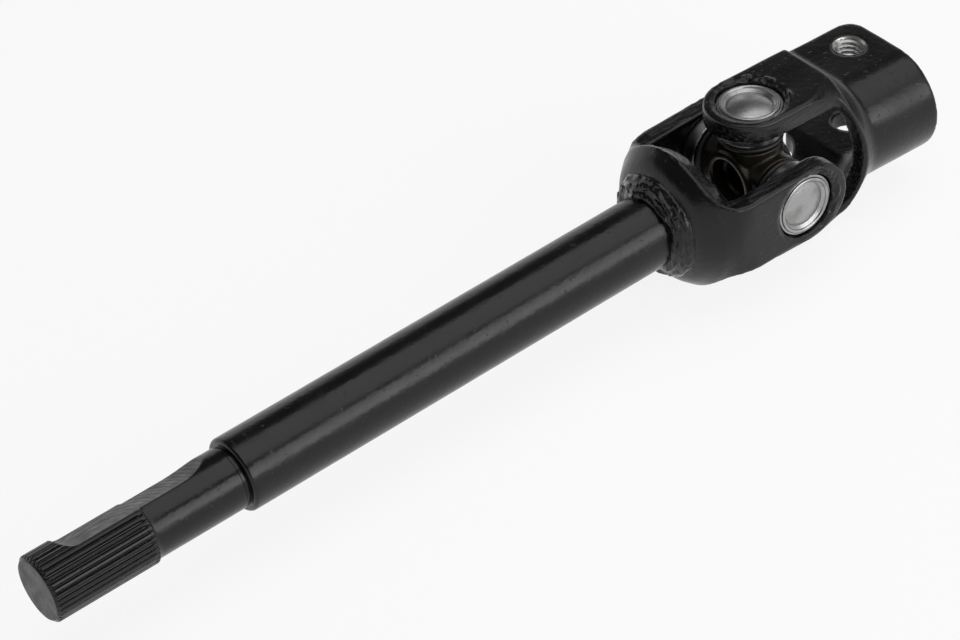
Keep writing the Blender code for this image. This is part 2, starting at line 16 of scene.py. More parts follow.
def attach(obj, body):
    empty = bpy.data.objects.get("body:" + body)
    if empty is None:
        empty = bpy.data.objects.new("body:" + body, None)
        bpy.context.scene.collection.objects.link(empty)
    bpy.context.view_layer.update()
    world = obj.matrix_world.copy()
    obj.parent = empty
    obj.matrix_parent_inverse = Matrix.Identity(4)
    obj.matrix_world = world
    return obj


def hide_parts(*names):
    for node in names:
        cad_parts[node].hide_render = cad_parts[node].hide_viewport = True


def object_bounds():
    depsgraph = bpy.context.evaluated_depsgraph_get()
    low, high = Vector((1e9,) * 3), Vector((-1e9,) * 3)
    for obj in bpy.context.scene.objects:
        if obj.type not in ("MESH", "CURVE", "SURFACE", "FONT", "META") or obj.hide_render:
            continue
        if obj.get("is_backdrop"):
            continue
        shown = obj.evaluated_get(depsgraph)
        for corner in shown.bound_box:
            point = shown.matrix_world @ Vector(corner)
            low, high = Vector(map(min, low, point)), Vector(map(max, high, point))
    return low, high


bl_info = {
    "name": "Steering shaft with universal joint",
    "version": (1, 0, 0),
    "blender": (4, 5, 0),
    "location": "View3D > Sidebar > Shaft",
    "description": "Builds a painted steering shaft, its joint and a small studio",
    "category": "Object",
}

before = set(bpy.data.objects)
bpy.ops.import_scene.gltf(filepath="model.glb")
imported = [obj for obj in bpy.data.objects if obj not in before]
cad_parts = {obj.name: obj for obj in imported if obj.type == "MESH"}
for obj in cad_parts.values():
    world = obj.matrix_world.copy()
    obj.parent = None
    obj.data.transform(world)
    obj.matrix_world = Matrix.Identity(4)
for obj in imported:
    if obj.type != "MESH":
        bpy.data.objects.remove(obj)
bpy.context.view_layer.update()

MM = 0.001
TURN = 2 * math.pi
FAR = 60 * MM  # past the end of every cut
MERGE = 1e-6  # corners closer than this are one
FIT = 0.3 * MM  # play of the holes round the bar and the cups
CENTRE = np.array([204.5 * MM, 0.0, 0.0])  # where the joint's two pins cross
BEND = math.radians(3.1)  # the joint's bend at rest
SIDES = {"near": (0.0, -1.0, 0.0), "far": (0.0, 1.0, 0.0)}
ENDS = {"top": (0.0, 0.0, 1.0), "bottom": (0.0, 0.0, -1.0)}

# The bowl's wall, from the joint's centre: (x, radius) of the crease by the floor, of the
# rim between the ears and of the shoulder under them, then the x from which they are flat.
CREASE = (-26.6 * MM, 16.7 * MM)
RIM = (-24.3 * MM, 18.6 * MM)
SHOULDER = (-20.0 * MM, 20.0 * MM)
FLAT_X = -16.0 * MM
RIM_INNER_X = -19.3 * MM
FLAT_ANGLES = np.radians([33.0, 60.0])  # where a flat ear turns back into the round wall
EAR_FAN = math.radians(24.0)  # the part of the floor's edge from which an ear rises

# The clamp yoke's flats end this far behind the pin's plane at the ears, and curl into the
# clamp's round bottom between two distances from the joint.
FLAT_REACH = 9.0 * MM
CURL = (9.0 * MM, 25.0 * MM)
SADDLE_X = 17.0 * MM  # where the round end of the opening between the ears starts

# Each pass of the weld: its place from toe to toe, the swings of its wander, its height in
# millimetres and its number of ripples.
WELD_PASSES = ((0.2, 2.0, 0.6, 19), (0.5, 3.0, 0.8, 16), (0.8, 2.0, 0.55, 21))

FACE_ROWS = 9  # rings of the bar's end face
PRESSED_PASSES = 13  # smoothing passes that round a pressed edge
FORGED_CELL, FORGED_PASSES = 0.36 * MM, 7
MIDDLE = {"From Min": 0.3, "From Max": 0.7}  # the range that most of a noise lies in


def linear(hex_colour):
    """An sRGB hex colour as three linear values."""
    value = np.array([int(hex_colour[i:i + 2], 16) for i in (1, 3, 5)]) / 255.0
    bent = np.where(value <= 0.04045, value / 12.92, ((value + 0.055) / 1.055) ** 2.4)
    return tuple(float(v) for v in bent)


def length(name, text, millimetres):
    """A length setting, given in millimetres."""
    return FloatProperty(name=name, description=text, default=millimetres * MM,
                         unit="LENGTH", precision=5)


def colour(name, text, hex_colour):
    """A colour setting, given as sRGB hex."""
    return FloatVectorProperty(name=name, description=text, default=linear(hex_colour),
                               subtype="COLOR", size=3, min=0.0, max=1.0)


class ShaftSizes(bpy.types.PropertyGroup):
    diameter: length("Shaft diameter", "Diameter of the bar", 18.2)
    serration: length("Serration diameter", "Diameter over the teeth", 16.4)
    tooth_depth: length("Tooth depth", "Depth of the serration teeth", 0.6)
    teeth: IntProperty(name="Teeth", description="Number of serration teeth", default=36)
    serration_end: length("Serration length", "Length of the serrated end", 26.6)
    neck: length("Neck diameter", "Diameter behind the serration", 15.2)
    step: length("Step distance", "Distance of the step from the end face", 51.6)
    end_chamfer: length("End chamfer", "Chamfer of the end face", 0.9)
    step_chamfer: length("Step chamfer", "Chamfer of the step", 1.0)
    groove_width: length("Groove width", "Width of the relief groove", 1.0)
    groove_depth: length("Groove depth", "Depth of the relief groove", 0.25)
    notch_depth: length("Notch depth", "Depth of the milled notch", 2.3)
    notch_start: length("Notch start", "Start of the milled notch", 6.9)
    notch_end: length("Notch end", "Where the run-out starts", 38.0)
    notch_radius: length("Notch start radius", "Cutter radius at the start", 4.4)
    notch_runout: length("Notch run-out", "Length of the run-out", 10.0)
    notch_angle: FloatProperty(name="Notch angle", description="Turn of the notch from +Y",
                               default=math.radians(62.5), unit="ROTATION")


class YokeSizes(bpy.types.PropertyGroup):
    half_span: length("Half span", "Distance of the ear faces from the joint centre", 20.2)
    plate: length("Plate", "Thickness of the stamped plate", 5.2)
    ear_width: length("Ear width", "Width of the shaft yoke's ears", 19.2)
    ear_reach: length("Ear reach", "Reach of the ears past the pin", 12.4)
    floor: length("Floor distance", "Distance of the bowl's floor from the joint centre", 29.3)
    corner: length("Corner radius", "Outer radius at the bowl's bottom", 6.6)
    inner_corner: length("Inner corner", "Inner radius at the bowl's bottom", 3.0)
    corner_reach: length("Corner reach", "Radius at which the bottom's corner would lie", 14.4)
    ear_root: length("Ear root radius", "Concave radius between ear and rim", 5.6)
    cell: length("Edge cells", "Size of the cells that round the pressed edges", 0.42)
    weld_on_shaft: length("Weld along shaft", "Leg of the weld along the shaft", 3.6)
    weld_on_bowl: length("Weld on bowl", "Leg of the weld on the bowl", 4.0)


class ClampSizes(bpy.types.PropertyGroup):
    ear_width: length("Ear width", "Width of the clamp yoke's ears", 21.0)
    ear_reach: length("Ear reach", "Reach of the ears past the pin", 11.2)
    bore: length("Bore", "Diameter of the clamped bore", 16.6)
    bore_offset: length("Bore offset", "Offset of the bore from the pin's plane", 1.0)
    end: length("End distance", "Distance of the end face from the joint centre", 47.6)
    corner: length("Corner", "Radius of the lugs' outer corner", 4.5)
    shoulder: length("Shoulder", "Where the ears draw in to the clamp", 20.5)
    shoulder_length: length("Shoulder length", "Length of the drawn-in part", 7.0)
    lug_reach: length("Lug reach", "Reach of the lugs beside the slot", 16.5)
    lug_start: length("Lug start", "Where the lugs start", 25.0)
    fork_depth: length("Fork depth", "Depth of the U behind the ears", 16.5)
    saddle: length("Saddle", "Depth of the round end of the opening", 5.4)
    bolt_distance: length("Bolt distance", "Distance of the bolt from the joint centre", 39.3)
    bolt_offset: length("Bolt offset", "Offset of the bolt from the pin's plane", 8.2)
    thread_crest: length("Thread crest diameter", "Inner diameter of the thread", 6.8)
    thread_root: length("Thread root diameter", "Outer diameter of the thread", 8.0)
    thread_pitch: length("Thread pitch", "Pitch of the thread", 1.25)


class BearingSizes(bpy.types.PropertyGroup):
    cup: length("Cup diameter", "Diameter of the bearing cups", 16.0)
    face: length("Cup face", "Distance of the cups' faces from the joint centre", 19.7)
    depth: length("Cup depth", "Depth of the cups", 7.9)
    wall: length("Cup wall", "Wall of the cups", 1.0)
    floor: length("Cup floor", "Floor of the cups", 1.5)
    trunnion: length("Trunnion", "Diameter of the trunnions", 9.4)
    shoulder: length("Shoulder", "Distance of the trunnions' shoulders", 9.8)
    shoulder_diameter: length("Shoulder diameter", "Diameter of the shoulders", 15.6)
    hub: length("Hub", "Thickness of the hub", 13.4)
    pocket: length("Pocket", "Diameter of the hub's pockets", 11.6)
    pocket_depth: length("Pocket depth", "Depth of the hub's pockets", 4.6)


class Finishes(bpy.types.PropertyGroup):
    paint: colour("Paint", "Black paint", "#060607")
    # Paler paint on the sheared edges and the weld's streaks, partly a painted sheen that
    # lightens them
    edge: colour("Cut edge", "Paint over sheared edges", "#2f3033")
    milled: colour("Milled steel", "Blackened milled steel", "#353736")
    end_face: colour("End face", "Matte end face", "#474848")
    cup: colour("Cups", "Bare satin steel", "#a3a3a3")
    cross: colour("Cross", "Forged cross", "#332e28")
    thread: colour("Thread", "Fresh cut thread", "#a9a9a7")
    rubber: colour("Seals", "Seal rubber", "#17171a")
    pad: colour("Pads", "Thrust pad plastic", "#c9c2ae")
    floor: colour("Floor", "Studio floor", "#f1f1f0")


SETTINGS = {"shaft": ShaftSizes, "yoke": YokeSizes, "clamp": ClampSizes,
            "bearing": BearingSizes, "finish": Finishes}


def settings(group):
    """One group of this scene's settings."""
    return getattr(bpy.context.scene, "steering_" + group)


def smooth_step(value, low, high):
    """Zero below low, one above high and 3t^2 - 2t^3 between them."""
    t = np.clip((value - low) / (high - low), 0.0, 1.0)
    return t * t * (3.0 - 2.0 * t)


def bump_at(value, centre, width):
    """A bell curve of height one about a centre."""
    return np.exp(-((value - centre) / width) ** 2)


def waves(points, size, seed):
    """A soft irregular field from -1 to 1: sines of eight random directions, about one
    swing per size."""
    random = np.random.default_rng(seed)
    directions = random.normal(size=(3, 8)) * TURN / size / 1.7
    return np.sin(points @ directions + random.uniform(0.0, TURN, 8)).mean(axis=-1) * 1.8


def arc(centre, radius, start, end, steps):
    """Points of an arc: centre plus radius times cosine and sine of even angles."""
    angle = np.linspace(start, end, steps + 1)
    return np.stack([centre[0] + radius * np.cos(angle),
                     centre[1] + radius * np.sin(angle)], axis=-1)


def rounded(corners, steps=12):
    """A closed path through (x, y, radius) corners, each an arc tangent to both sides."""
    path = []
    for i, (x, y, radius) in enumerate(corners):
        corner = np.array([x, y])
        if radius == 0.0:
            path.append(corner[None])
            continue
        sides = [np.array(corners[k % len(corners)][:2]) - corner for k in (i - 1, i + 1)]
        before, after = (side / np.linalg.norm(side) for side in sides)
        half = math.acos(np.clip(before @ after, -1.0, 1.0)) / 2
        middle = before + after
        centre = corner + middle / np.linalg.norm(middle) * radius / math.sin(half)
        start, end = (corner + side * radius / math.tan(half) - centre
                      for side in (before, after))
        sweep = math.atan2(start[0] * end[1] - start[1] * end[0], start @ end)
        first = math.atan2(start[1], start[0])
        path.append(arc(centre, radius, first, first + sweep, steps))
    return np.concatenate(path)


def turned(profile, steps):
    """A grid turned about X: a profile point (x, r) goes round as (x, r cos a, r sin a)."""
    x, radius = np.asarray(profile, float).T[..., None]
    angle = np.arange(steps) * TURN / steps
    return np.stack([x + 0.0 * angle, radius * np.cos(angle), radius * np.sin(angle)], axis=-1)


def grid_faces(rows, columns, wrap_rows=False, wrap_columns=True):
    """Quads between neighbours of a grid, joined round where it wraps."""
    i = np.arange(rows if wrap_rows else rows - 1)[:, None]
    j = np.arange(columns if wrap_columns else columns - 1)[None, :]
    down, right = (i + 1) % rows, (j + 1) % columns
    corners = [i * columns + j, i * columns + right, down * columns + right, down * columns + j]
    return np.stack(corners, axis=-1).reshape(-1, 4)


def closed_mesh(name, grid, wrap_rows=False, cap=False, marks=None):
    """A mesh of a grid whose columns wrap. Its rows wrap too, or end in poles or caps.
    Doubles are merged and faces turned outwards. Marks give each face's material."""
    rows, columns = grid.shape[:2]
    faces = grid_faces(rows, columns, wrap_rows).tolist()
    if cap:
        faces.append(list(range(columns)))
        faces.append(list(range((rows - 1) * columns, rows * columns)))
    mesh = bpy.data.meshes.new(name)
    mesh.from_pydata(grid.reshape(-1, 3).tolist(), [], faces)
    if marks is not None:
        mesh.polygons.foreach_set("material_index", marks.astype(np.int32).ravel())
    bm = bmesh.new()
    bm.from_mesh(mesh)
    bmesh.ops.remove_doubles(bm, verts=bm.verts, dist=MERGE)
    bmesh.ops.recalc_face_normals(bm, faces=bm.faces)
    bm.to_mesh(mesh)
    bm.free()
    return mesh


def prism(outline, low, high, normal):
    """A closed prism: an outline's (x, y) carried along Z, or its (x, z) along Y."""
    level = np.array([low, high])[:, None] + 0.0 * outline[:, 0]
    parts = [outline[:, 0] + 0.0 * level, outline[:, 1] + 0.0 * level, level]
    if normal == "Y":
        parts[1], parts[2] = parts[2], parts[1]
    return closed_mesh("prism", np.stack(parts, axis=-1), cap=True)


def aimed(mesh, direction):
    """Turns a mesh built along +X to point along a direction."""
    turn = Vector((1.0, 0.0, 0.0)).rotation_difference(Vector(direction))
    mesh.transform(turn.to_matrix().to_4x4())
    return mesh


def cylinder(reach, radius):
    """A closed cylinder along X from -reach to reach."""
    profile = [(-reach, 0.0), (-reach, radius), (reach, radius), (reach, 0.0)]
    return closed_mesh("cylinder", turned(profile, 96))


def formed(mesh, cuts, cell, passes):
    """A mesh after exact Booleans with (operation, mesh) cuts, then cells of one size and
    smoothing, which round its edges as pressing and forging do."""
    scene = bpy.context.scene
    target = bpy.data.objects.new(mesh.name, mesh)
    scene.collection.objects.link(target)
    helpers = [target]
    for operation, cutter in cuts:
        helper = bpy.data.objects.new("cutter", cutter)
        scene.collection.objects.link(helper)
        helpers.append(helper)
        modifier = target.modifiers.new("cut", "BOOLEAN")
        modifier.operation, modifier.solver, modifier.object = operation, "EXACT", helper
    modifier = target.modifiers.new("cells", "REMESH")
    modifier.mode, modifier.voxel_size = "VOXEL", cell
    modifier = target.modifiers.new("rounding", "SMOOTH")
    modifier.factor, modifier.iterations = 0.5, passes
    graph = bpy.context.evaluated_depsgraph_get()
    result = bpy.data.meshes.new_from_object(target.evaluated_get(graph))
    if not result.polygons:
        raise RuntimeError(f"{mesh.name} came out empty")
    for helper in helpers:
        bpy.data.objects.remove(helper)
    return result


def read_points(mesh, what="co"):
    """Coordinates or normals of a mesh's vertices as one array."""
    values = np.zeros(len(mesh.vertices) * 3, np.float32)
    mesh.vertices.foreach_get(what, values)
    return values.reshape(-1, 3).astype(float)


def write_points(mesh, points):
    """Puts an array of coordinates into a mesh."""
    mesh.vertices.foreach_set("co", points.astype(np.float32).ravel())
    mesh.update()


def write_attribute(mesh, name, values):
    """A float for each vertex, which materials read by name."""
    attribute = mesh.attributes.new(name, "FLOAT", "POINT")
    attribute.data.foreach_set("value", values.astype(np.float32))


def joint_place(bent):
    """Matrix from the joint's own axes to the world, with its rest bend or without."""
    place = Matrix.Translation(Vector(CENTRE))
    return place @ Matrix.Rotation(BEND, 4, "Y") if bent else place


def add_piece(name, mesh, materials, body, nodes=(), sharp=40.0):
    """Adds a finished mesh as a piece that rides on a body and stands for CAD nodes."""
    mesh.name = name
    for finish in materials:
        mesh.materials.append(finish)
    mesh.shade_smooth()
    mesh.set_sharp_from_angle(angle=math.radians(sharp))
    piece = bpy.data.objects.new(name, mesh)
    bpy.context.scene.collection.objects.link(piece)
    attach(piece, body)
    if nodes:
        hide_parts(*nodes)
    return piece


def set_node(tree, node, values):
    """Sets a node's inputs or properties by name or number: a socket is linked, and
    anything else is the value."""
    for key, value in values.items():
        if isinstance(value, bpy.types.NodeSocket):
            tree.links.new(value, node.inputs[key])
        elif isinstance(key, int) or key in node.inputs:
            node.inputs[key].default_value = value
        else:
            setattr(node, key, value)


def add_node(tree, kind, values=None, output=0):
    """Adds a node with its settings and links, and gives one of its outputs."""
    node = tree.nodes.new("ShaderNode" + kind)
    set_node(tree, node, values or {})
    return node.outputs[output]


def start_material(name, shade, roughness, metallic=0.0, reflection=0.5):
    """A material with its uniform values on the shader. It gives the material, its tree,
    its shader and the piece's Object coordinates."""
    result = bpy.data.materials.new(name)
    result.use_nodes = True
    tree = result.node_tree
    shader = tree.nodes["Principled BSDF"]
    set_node(tree, shader, {"Base Color": (*shade, 1.0), "Roughness": roughness,
                            "Metallic": metallic, "Specular IOR Level": reflection})
    return result, tree, shader, add_node(tree, "TexCoord", output="Object")


def black_paint(name, roughness, peel=0.056 * MM, streak_axis=None, relief=0.08 * MM):
    """Semi-gloss black dip paint on steel. It gives soft grey light bands, a faint orange
    peel of 1.4 mm, duller dusty patches and small pimples. Where a streak axis is given,
    what the mesh marks for streaks shows raised streaks along that axis in a paler shade,
    which is partly a painted sheen."""
    finish = settings("finish")
    result, tree, shader, place = start_material(name, finish.paint, roughness, 0.0, 0.37)
    dust = add_node(tree, "TexNoise", {"Vector": place, "Scale": 1 / (9 * MM), "Detail": 5.0})
    dull = add_node(tree, "MapRange", {"Value": dust, **MIDDLE, "To Min": roughness - 0.04,
                                       "To Max": roughness + 0.08})
    skin = add_node(tree, "TexNoise", {"Vector": place, "Scale": 1 / (1.4 * MM), "Detail": 2.0})
    normal = add_node(tree, "Bump", {"Height": skin, "Distance": peel})
    grit = add_node(tree, "TexNoise", {"Vector": place, "Scale": 1 / (1.1 * MM), "Detail": 1.0})
    pimple = add_node(tree, "MapRange", {"Value": grit, "From Min": 0.68, "From Max": 0.78})
    normal = add_node(tree, "Bump", {"Height": pimple, "Distance": 0.045 * MM,
                                     "Normal": normal})
    if streak_axis is not None:
        scale = [1 / (0.7 * MM)] * 3
        scale["XYZ".index(streak_axis)] /= 7
        drawn = add_node(tree, "Mapping", {"Vector": place, "Scale": scale})
        streaks = add_node(tree, "TexNoise", {"Vector": drawn, "Scale": 1.0, "Detail": 4.0})
        lines = add_node(tree, "MapRange", {"Value": streaks, "From Min": 0.42,
                                            "From Max": 0.72})
        # The paler shade on the streaks is partly a painted sheen, beside their raised grain.
        edge = add_node(tree, "Attribute", {"attribute_name": "streaks_and_painted_sheen"}, "Fac")
        amount = add_node(tree, "Math", {"operation": "MULTIPLY", 0: edge, 1: lines})
        shown = add_node(tree, "Mix", {"data_type": "RGBA", 0: amount, 6: (*finish.paint, 1.0),
                                       7: (*finish.edge, 1.0)}, 2)
        raised = add_node(tree, "Math", {"operation": "MULTIPLY", 0: amount, 1: streaks})
        normal = add_node(tree, "Bump", {"Height": raised, "Distance": relief,
                                         "Normal": normal})
        set_node(tree, shader, {"Base Color": shown})
    set_node(tree, shader, {"Roughness": dull, "Normal": normal})
    return result


def milled_steel(name, shade, ring, centre, metallic):
    """Blackened steel as the cutter left it: matte dark grey with arcs a feed apart. A
    wave texture's rings are 0.314 over its scale apart."""
    result, tree, shader, place = start_material(name, shade, 0.42, metallic)
    moved = add_node(tree, "Mapping", {"Vector": place, "Location": centre})
    arcs = add_node(tree, "TexWave", {"wave_type": "RINGS", "rings_direction": "SPHERICAL",
                                      "Vector": moved, "Scale": 0.314 / ring,
                                      "Distortion": 2.0, "Detail": 1.0}, "Fac")
    stain = add_node(tree, "TexNoise", {"Vector": place, "Scale": 1 / (3 * MM), "Detail": 4.0})
    patches = add_node(tree, "MapRange", {"Value": stain, **MIDDLE, "To Min": 0.25})
    lines = add_node(tree, "Math", {"operation": "MULTIPLY", 0: patches, 1: arcs})
    dark = tuple(0.65 * v for v in shade)
    shown = add_node(tree, "Mix", {"data_type": "RGBA", 0: lines, 6: (*shade, 1.0),
                                   7: (*dark, 1.0)}, 2)
    dull = add_node(tree, "MapRange", {"Value": stain, **MIDDLE, "To Min": 0.36,
                                       "To Max": 0.55})
    grain = add_node(tree, "TexNoise", {"Vector": place, "Scale": 1 / (0.4 * MM),
                                        "Detail": 3.0})
    normal = add_node(tree, "Bump", {"Height": arcs, "Distance": 0.06 * MM})
    normal = add_node(tree, "Bump", {"Height": grain, "Distance": 0.05 * MM, "Normal": normal})
    set_node(tree, shader, {"Base Color": shown, "Roughness": dull, "Normal": normal})
    return result


def bare_steel(name, shade, roughness, ring):
    """Bare turned steel: bright satin with fine rings about its own axis, a ring apart,
    and faint brown stains of handling oil."""
    result, tree, shader, place = start_material(name, shade, roughness, 1.0)
    radius = add_node(tree, "Attribute", {"attribute_name": "turned_radius"}, "Fac")
    lines = add_node(tree, "TexNoise", {"noise_dimensions": "1D", "W": radius,
                                        "Scale": 1 / ring, "Detail": 2.0})
    stain = add_node(tree, "TexNoise", {"Vector": place, "Scale": 1 / (4 * MM), "Detail": 4.0})
    amount = add_node(tree, "MapRange", {"Value": stain, "From Min": 0.45, "From Max": 0.75})
    brown = (shade[0] * 0.6, shade[1] * 0.58, shade[2] * 0.56)
    shown = add_node(tree, "Mix", {"data_type": "RGBA", 0: amount, 6: (*shade, 1.0),
                                   7: (*brown, 1.0)}, 2)
    dull = add_node(tree, "MapRange", {"Value": stain, **MIDDLE, "To Min": roughness - 0.05,
                                       "To Max": roughness + 0.12})
    grain = add_node(tree, "TexNoise", {"Vector": place, "Scale": 1 / (0.25 * MM),
                                        "Detail": 3.0})
    normal = add_node(tree, "Bump", {"Height": lines, "Distance": 0.03 * MM})
    normal = add_node(tree, "Bump", {"Height": grain, "Distance": 0.015 * MM, "Normal": normal})
    set_node(tree, shader, {"Base Color": shown, "Roughness": dull, "Normal": normal})
    return result


def forged_steel(name, shade):
    """Forged and phosphated steel: dark, dull and faintly pitted, brown in the hollows."""
    result, tree, shader, place = start_material(name, shade, 0.36, 0.6)
    stain = add_node(tree, "TexNoise", {"Vector": place, "Scale": 1 / (2.5 * MM),
                                        "Detail": 5.0})
    amount = add_node(tree, "MapRange", {"Value": stain, **MIDDLE})
    brown = (shade[0] * 0.45, shade[1] * 0.38, shade[2] * 0.32)
    shown = add_node(tree, "Mix", {"data_type": "RGBA", 0: amount, 6: (*shade, 1.0),
                                   7: (*brown, 1.0)}, 2)
    dull = add_node(tree, "MapRange", {"Value": stain, **MIDDLE, "To Min": 0.26,
                                       "To Max": 0.46})
    pits = add_node(tree, "TexNoise", {"Vector": place, "Scale": 1 / (0.5 * MM),
                                       "Detail": 3.0})
    normal = add_node(tree, "Bump", {"Height": pits, "Distance": 0.05 * MM})
    set_node(tree, shader, {"Base Color": shown, "Roughness": dull, "Normal": normal})
    return result


def plain_grain(name, shade, roughness, grain, metallic=0.0):
    """A moulded, cut or ground surface with a fine grain: rubber seals, plastic pads,
    needles and the tapped thread."""
    result, tree, shader, place = start_material(name, shade, roughness, metallic)
    pattern = add_node(tree, "TexNoise", {"Vector": place, "Scale": 1 / grain, "Detail": 4.0})
    dull = add_node(tree, "MapRange", {"Value": pattern, **MIDDLE, "To Min": roughness - 0.08,
                                       "To Max": roughness + 0.08})
    normal = add_node(tree, "Bump", {"Height": pattern, "Distance": 0.03 * MM})
    set_node(tree, shader, {"Roughness": dull, "Normal": normal})
    return result


def notch_height(x, sizes):
    """Height of the notch's floor at x: a quarter circle down, flat, then a long arc up.
    It is far above the bar where there is no notch."""
    floor = sizes.serration / 2 - sizes.notch_depth
    start = np.clip(sizes.notch_start + sizes.notch_radius - x, 0.0, sizes.notch_radius)
    runout = (sizes.notch_runout ** 2 + sizes.notch_depth ** 2) / (2 * sizes.notch_depth)
    past = np.clip(x - sizes.notch_end, 0.0, runout)
    height = floor + sizes.notch_radius - np.sqrt(sizes.notch_radius ** 2 - start ** 2)
    height = height + runout - np.sqrt(runout ** 2 - past ** 2)
    inside = (x >= sizes.notch_start) & (x < sizes.notch_end + sizes.notch_runout + MM)
    return np.where(inside, height, FAR)


def level(start, end, steps, radius):
    """Even profile points (x, radius) at one radius."""
    return np.stack([np.linspace(start, end, steps), np.full(steps, radius)], axis=-1)


def shaft_profile(sizes, end):
    """Half section of the bar: end face, serrated end, neck, relief groove, step, body."""
    tip, neck, body = sizes.serration / 2, sizes.neck / 2, sizes.diameter / 2
    groove, low = sizes.step - sizes.groove_width, neck - sizes.groove_depth
    chamfer = np.linspace(0.1, 0.9, 5) * MM
    drop = np.linspace(0.0, 1.0, 6)[1:]
    return np.concatenate([
        level(0.0, tip - sizes.end_chamfer, FACE_ROWS, 0.0)[:, ::-1],
        np.stack([chamfer, tip - sizes.end_chamfer + chamfer], axis=-1),
        level(1.2 * MM, 7.2 * MM, 15, tip),
        level(7.5 * MM, 11.0 * MM, 19, tip),
        level(11.4 * MM, sizes.serration_end, 38, tip),
        np.stack([sizes.serration_end + 0.6 * MM * drop,
                  tip + (neck - tip) * smooth_step(drop, 0.0, 1.0)], axis=-1),
        level(28.2 * MM, groove - sizes.groove_depth, 48, neck),
        [(groove, low), (groove + 0.3 * MM, low), (sizes.step - 0.3 * MM, low),
         (sizes.step, low), (sizes.step + 0.05 * MM, neck)],
        arc((sizes.step + sizes.step_chamfer, body - sizes.step_chamfer),
            sizes.step_chamfer, math.pi, math.pi / 2, 6),
        level(54.0 * MM, end - sizes.end_chamfer, 36, body),
        [(end, body - sizes.end_chamfer), (end, 0.0)]])


def shaft_grid(sizes, end):
    """The bar as a grid of (x, angle): each radius is a stepped half section, the teeth
    are a flattened cosine of the angle, and the notch lowers what stands above its floor.
    It gives the grid and, for each face, its material."""
    x, radius = shaft_profile(sizes, end).T[..., None]
    angle = np.arange(sizes.teeth * 10) * TURN / (sizes.teeth * 10)
    crest = 0.5 + 0.5 * np.tanh(2.4 * (np.cos(sizes.teeth * angle) + 0.45))
    fade = 1.0 - smooth_step(x, sizes.serration_end - 1.2 * MM, sizes.serration_end + 0.2 * MM)
    root = sizes.serration / 2 - sizes.tooth_depth
    toothed = np.minimum(radius, root + sizes.tooth_depth * crest)
    radius = np.where(x <= sizes.serration_end + 1.2 * MM,
                      radius * (1.0 - fade) + toothed * fade, radius)
    grid = np.stack([x + 0.0 * angle, radius * np.cos(angle), radius * np.sin(angle)], axis=-1)
    normal = np.array([0.0, math.cos(sizes.notch_angle), math.sin(sizes.notch_angle)])
    over = np.maximum(grid @ normal - notch_height(x, sizes), 0.0)
    grid = grid - over[..., None] * normal
    cut = (over > 0.0).astype(int)
    corners = cut[:-1] + cut[1:] + np.roll(cut[:-1], -1, 1) + np.roll(cut[1:], -1, 1)
    marks = (corners >= 3).astype(int)
    marks[:FACE_ROWS] = 2
    return grid, marks


def weld_grid(sizes, bar):
    """The weld as a grid of (angle, section): the section bows out between its toe on the
    shaft and its toe on the bowl. Three overlapping passes add bell-shaped ridges that
    wander with the angle, and each pass carries crescent ripples."""
    steps = 300
    around = np.arange(steps)[:, None] * TURN / steps
    along = np.linspace(0.0, 1.0, 61)[None, :]
    back, low = -sizes.floor + 0.7 * MM, bar / 2 - 0.15 * MM
    toe_x = -sizes.floor - sizes.weld_on_shaft
    toe_r = bar / 2 + sizes.weld_on_bowl + 0.5 * MM
    wander = 0.35 * MM * np.sin(3 * around + 0.6) + 0.25 * MM * np.sin(7 * around + 2.0)
    x = toe_x + wander * (1.0 - along) + (back - toe_x) * along ** 1.15
    radius = low + (toe_r + 0.6 * wander - low) * along
    swell = 0.45 * MM * np.sin(np.pi * along) ** 0.8
    for start, turns, height, ripples in WELD_PASSES:
        middle = start + 0.06 * np.sin(turns * around + 5.0 * start)
        ridge = bump_at(along, middle, 0.13) * (1.0 + 0.3 * np.sin(5.0 * around + 9.0 * start))
        phase = ripples * around + 26.0 * (along - middle) ** 2 * ripples / 4.0
        phase = phase + 1.4 * np.sin(4.0 * around + start * 7.0)
        crescent = (np.mod(phase / TURN, 1.0)) ** 1.6
        swell = swell + ridge * height * MM * (0.5 + 0.4 * crescent)
    swell = swell * np.clip(np.minimum(along, 1.0 - along) * 12.0, 0.0, 1.0)
    slope = math.sqrt(0.5)
    x, radius = np.minimum(x - swell * slope, back), radius + swell * slope
    under = low - 0.6 * MM
    hidden = np.array([[back + 0.4 * MM, toe_r - 1.2 * MM], [back, under],
                       [toe_x + 1.2 * MM, under]])
    x = np.concatenate([x, np.broadcast_to(hidden[:, 0], (steps, 3))], axis=1)
    radius = np.concatenate([radius, np.broadcast_to(hidden[:, 1], (steps, 3))], axis=1)
    return np.stack([x, radius * np.cos(around), radius * np.sin(around)], axis=-1)


def wall_radius(x, sizes):
    """Outer radius of the bowl's wall: straight lines through crease, rim and shoulder."""
    return np.interp(x, [CREASE[0], RIM[0], SHOULDER[0], FLAT_X],
                     [CREASE[1], RIM[1], SHOULDER[1], sizes.half_span])


def wall_point(x, angle, radius):
    """Across-axis place of a wall point: on a circle in the bowl, and pushed out by one
    over the angle's cosine where the ears are flat."""
    amount = smooth_step(x, RIM[0], FLAT_X) * (1.0 - smooth_step(angle, *FLAT_ANGLES))
    radius = radius * (1.0 + amount * (1.0 / np.cos(np.minimum(angle, FLAT_ANGLES[1])) - 1.0))
    return radius * np.cos(angle), radius * np.sin(angle)


def wall_angle(x, z, radius):
    """Angle at which the wall reaches a given z, found by halving."""
    low, high = np.zeros_like(z), np.full_like(z, math.pi / 2)
    for _ in range(40):
        middle = (low + high) / 2
        below = wall_point(x, middle, radius)[1] < z
        low, high = np.where(below, middle, low), np.where(below, high, middle)
    return (low + high) / 2


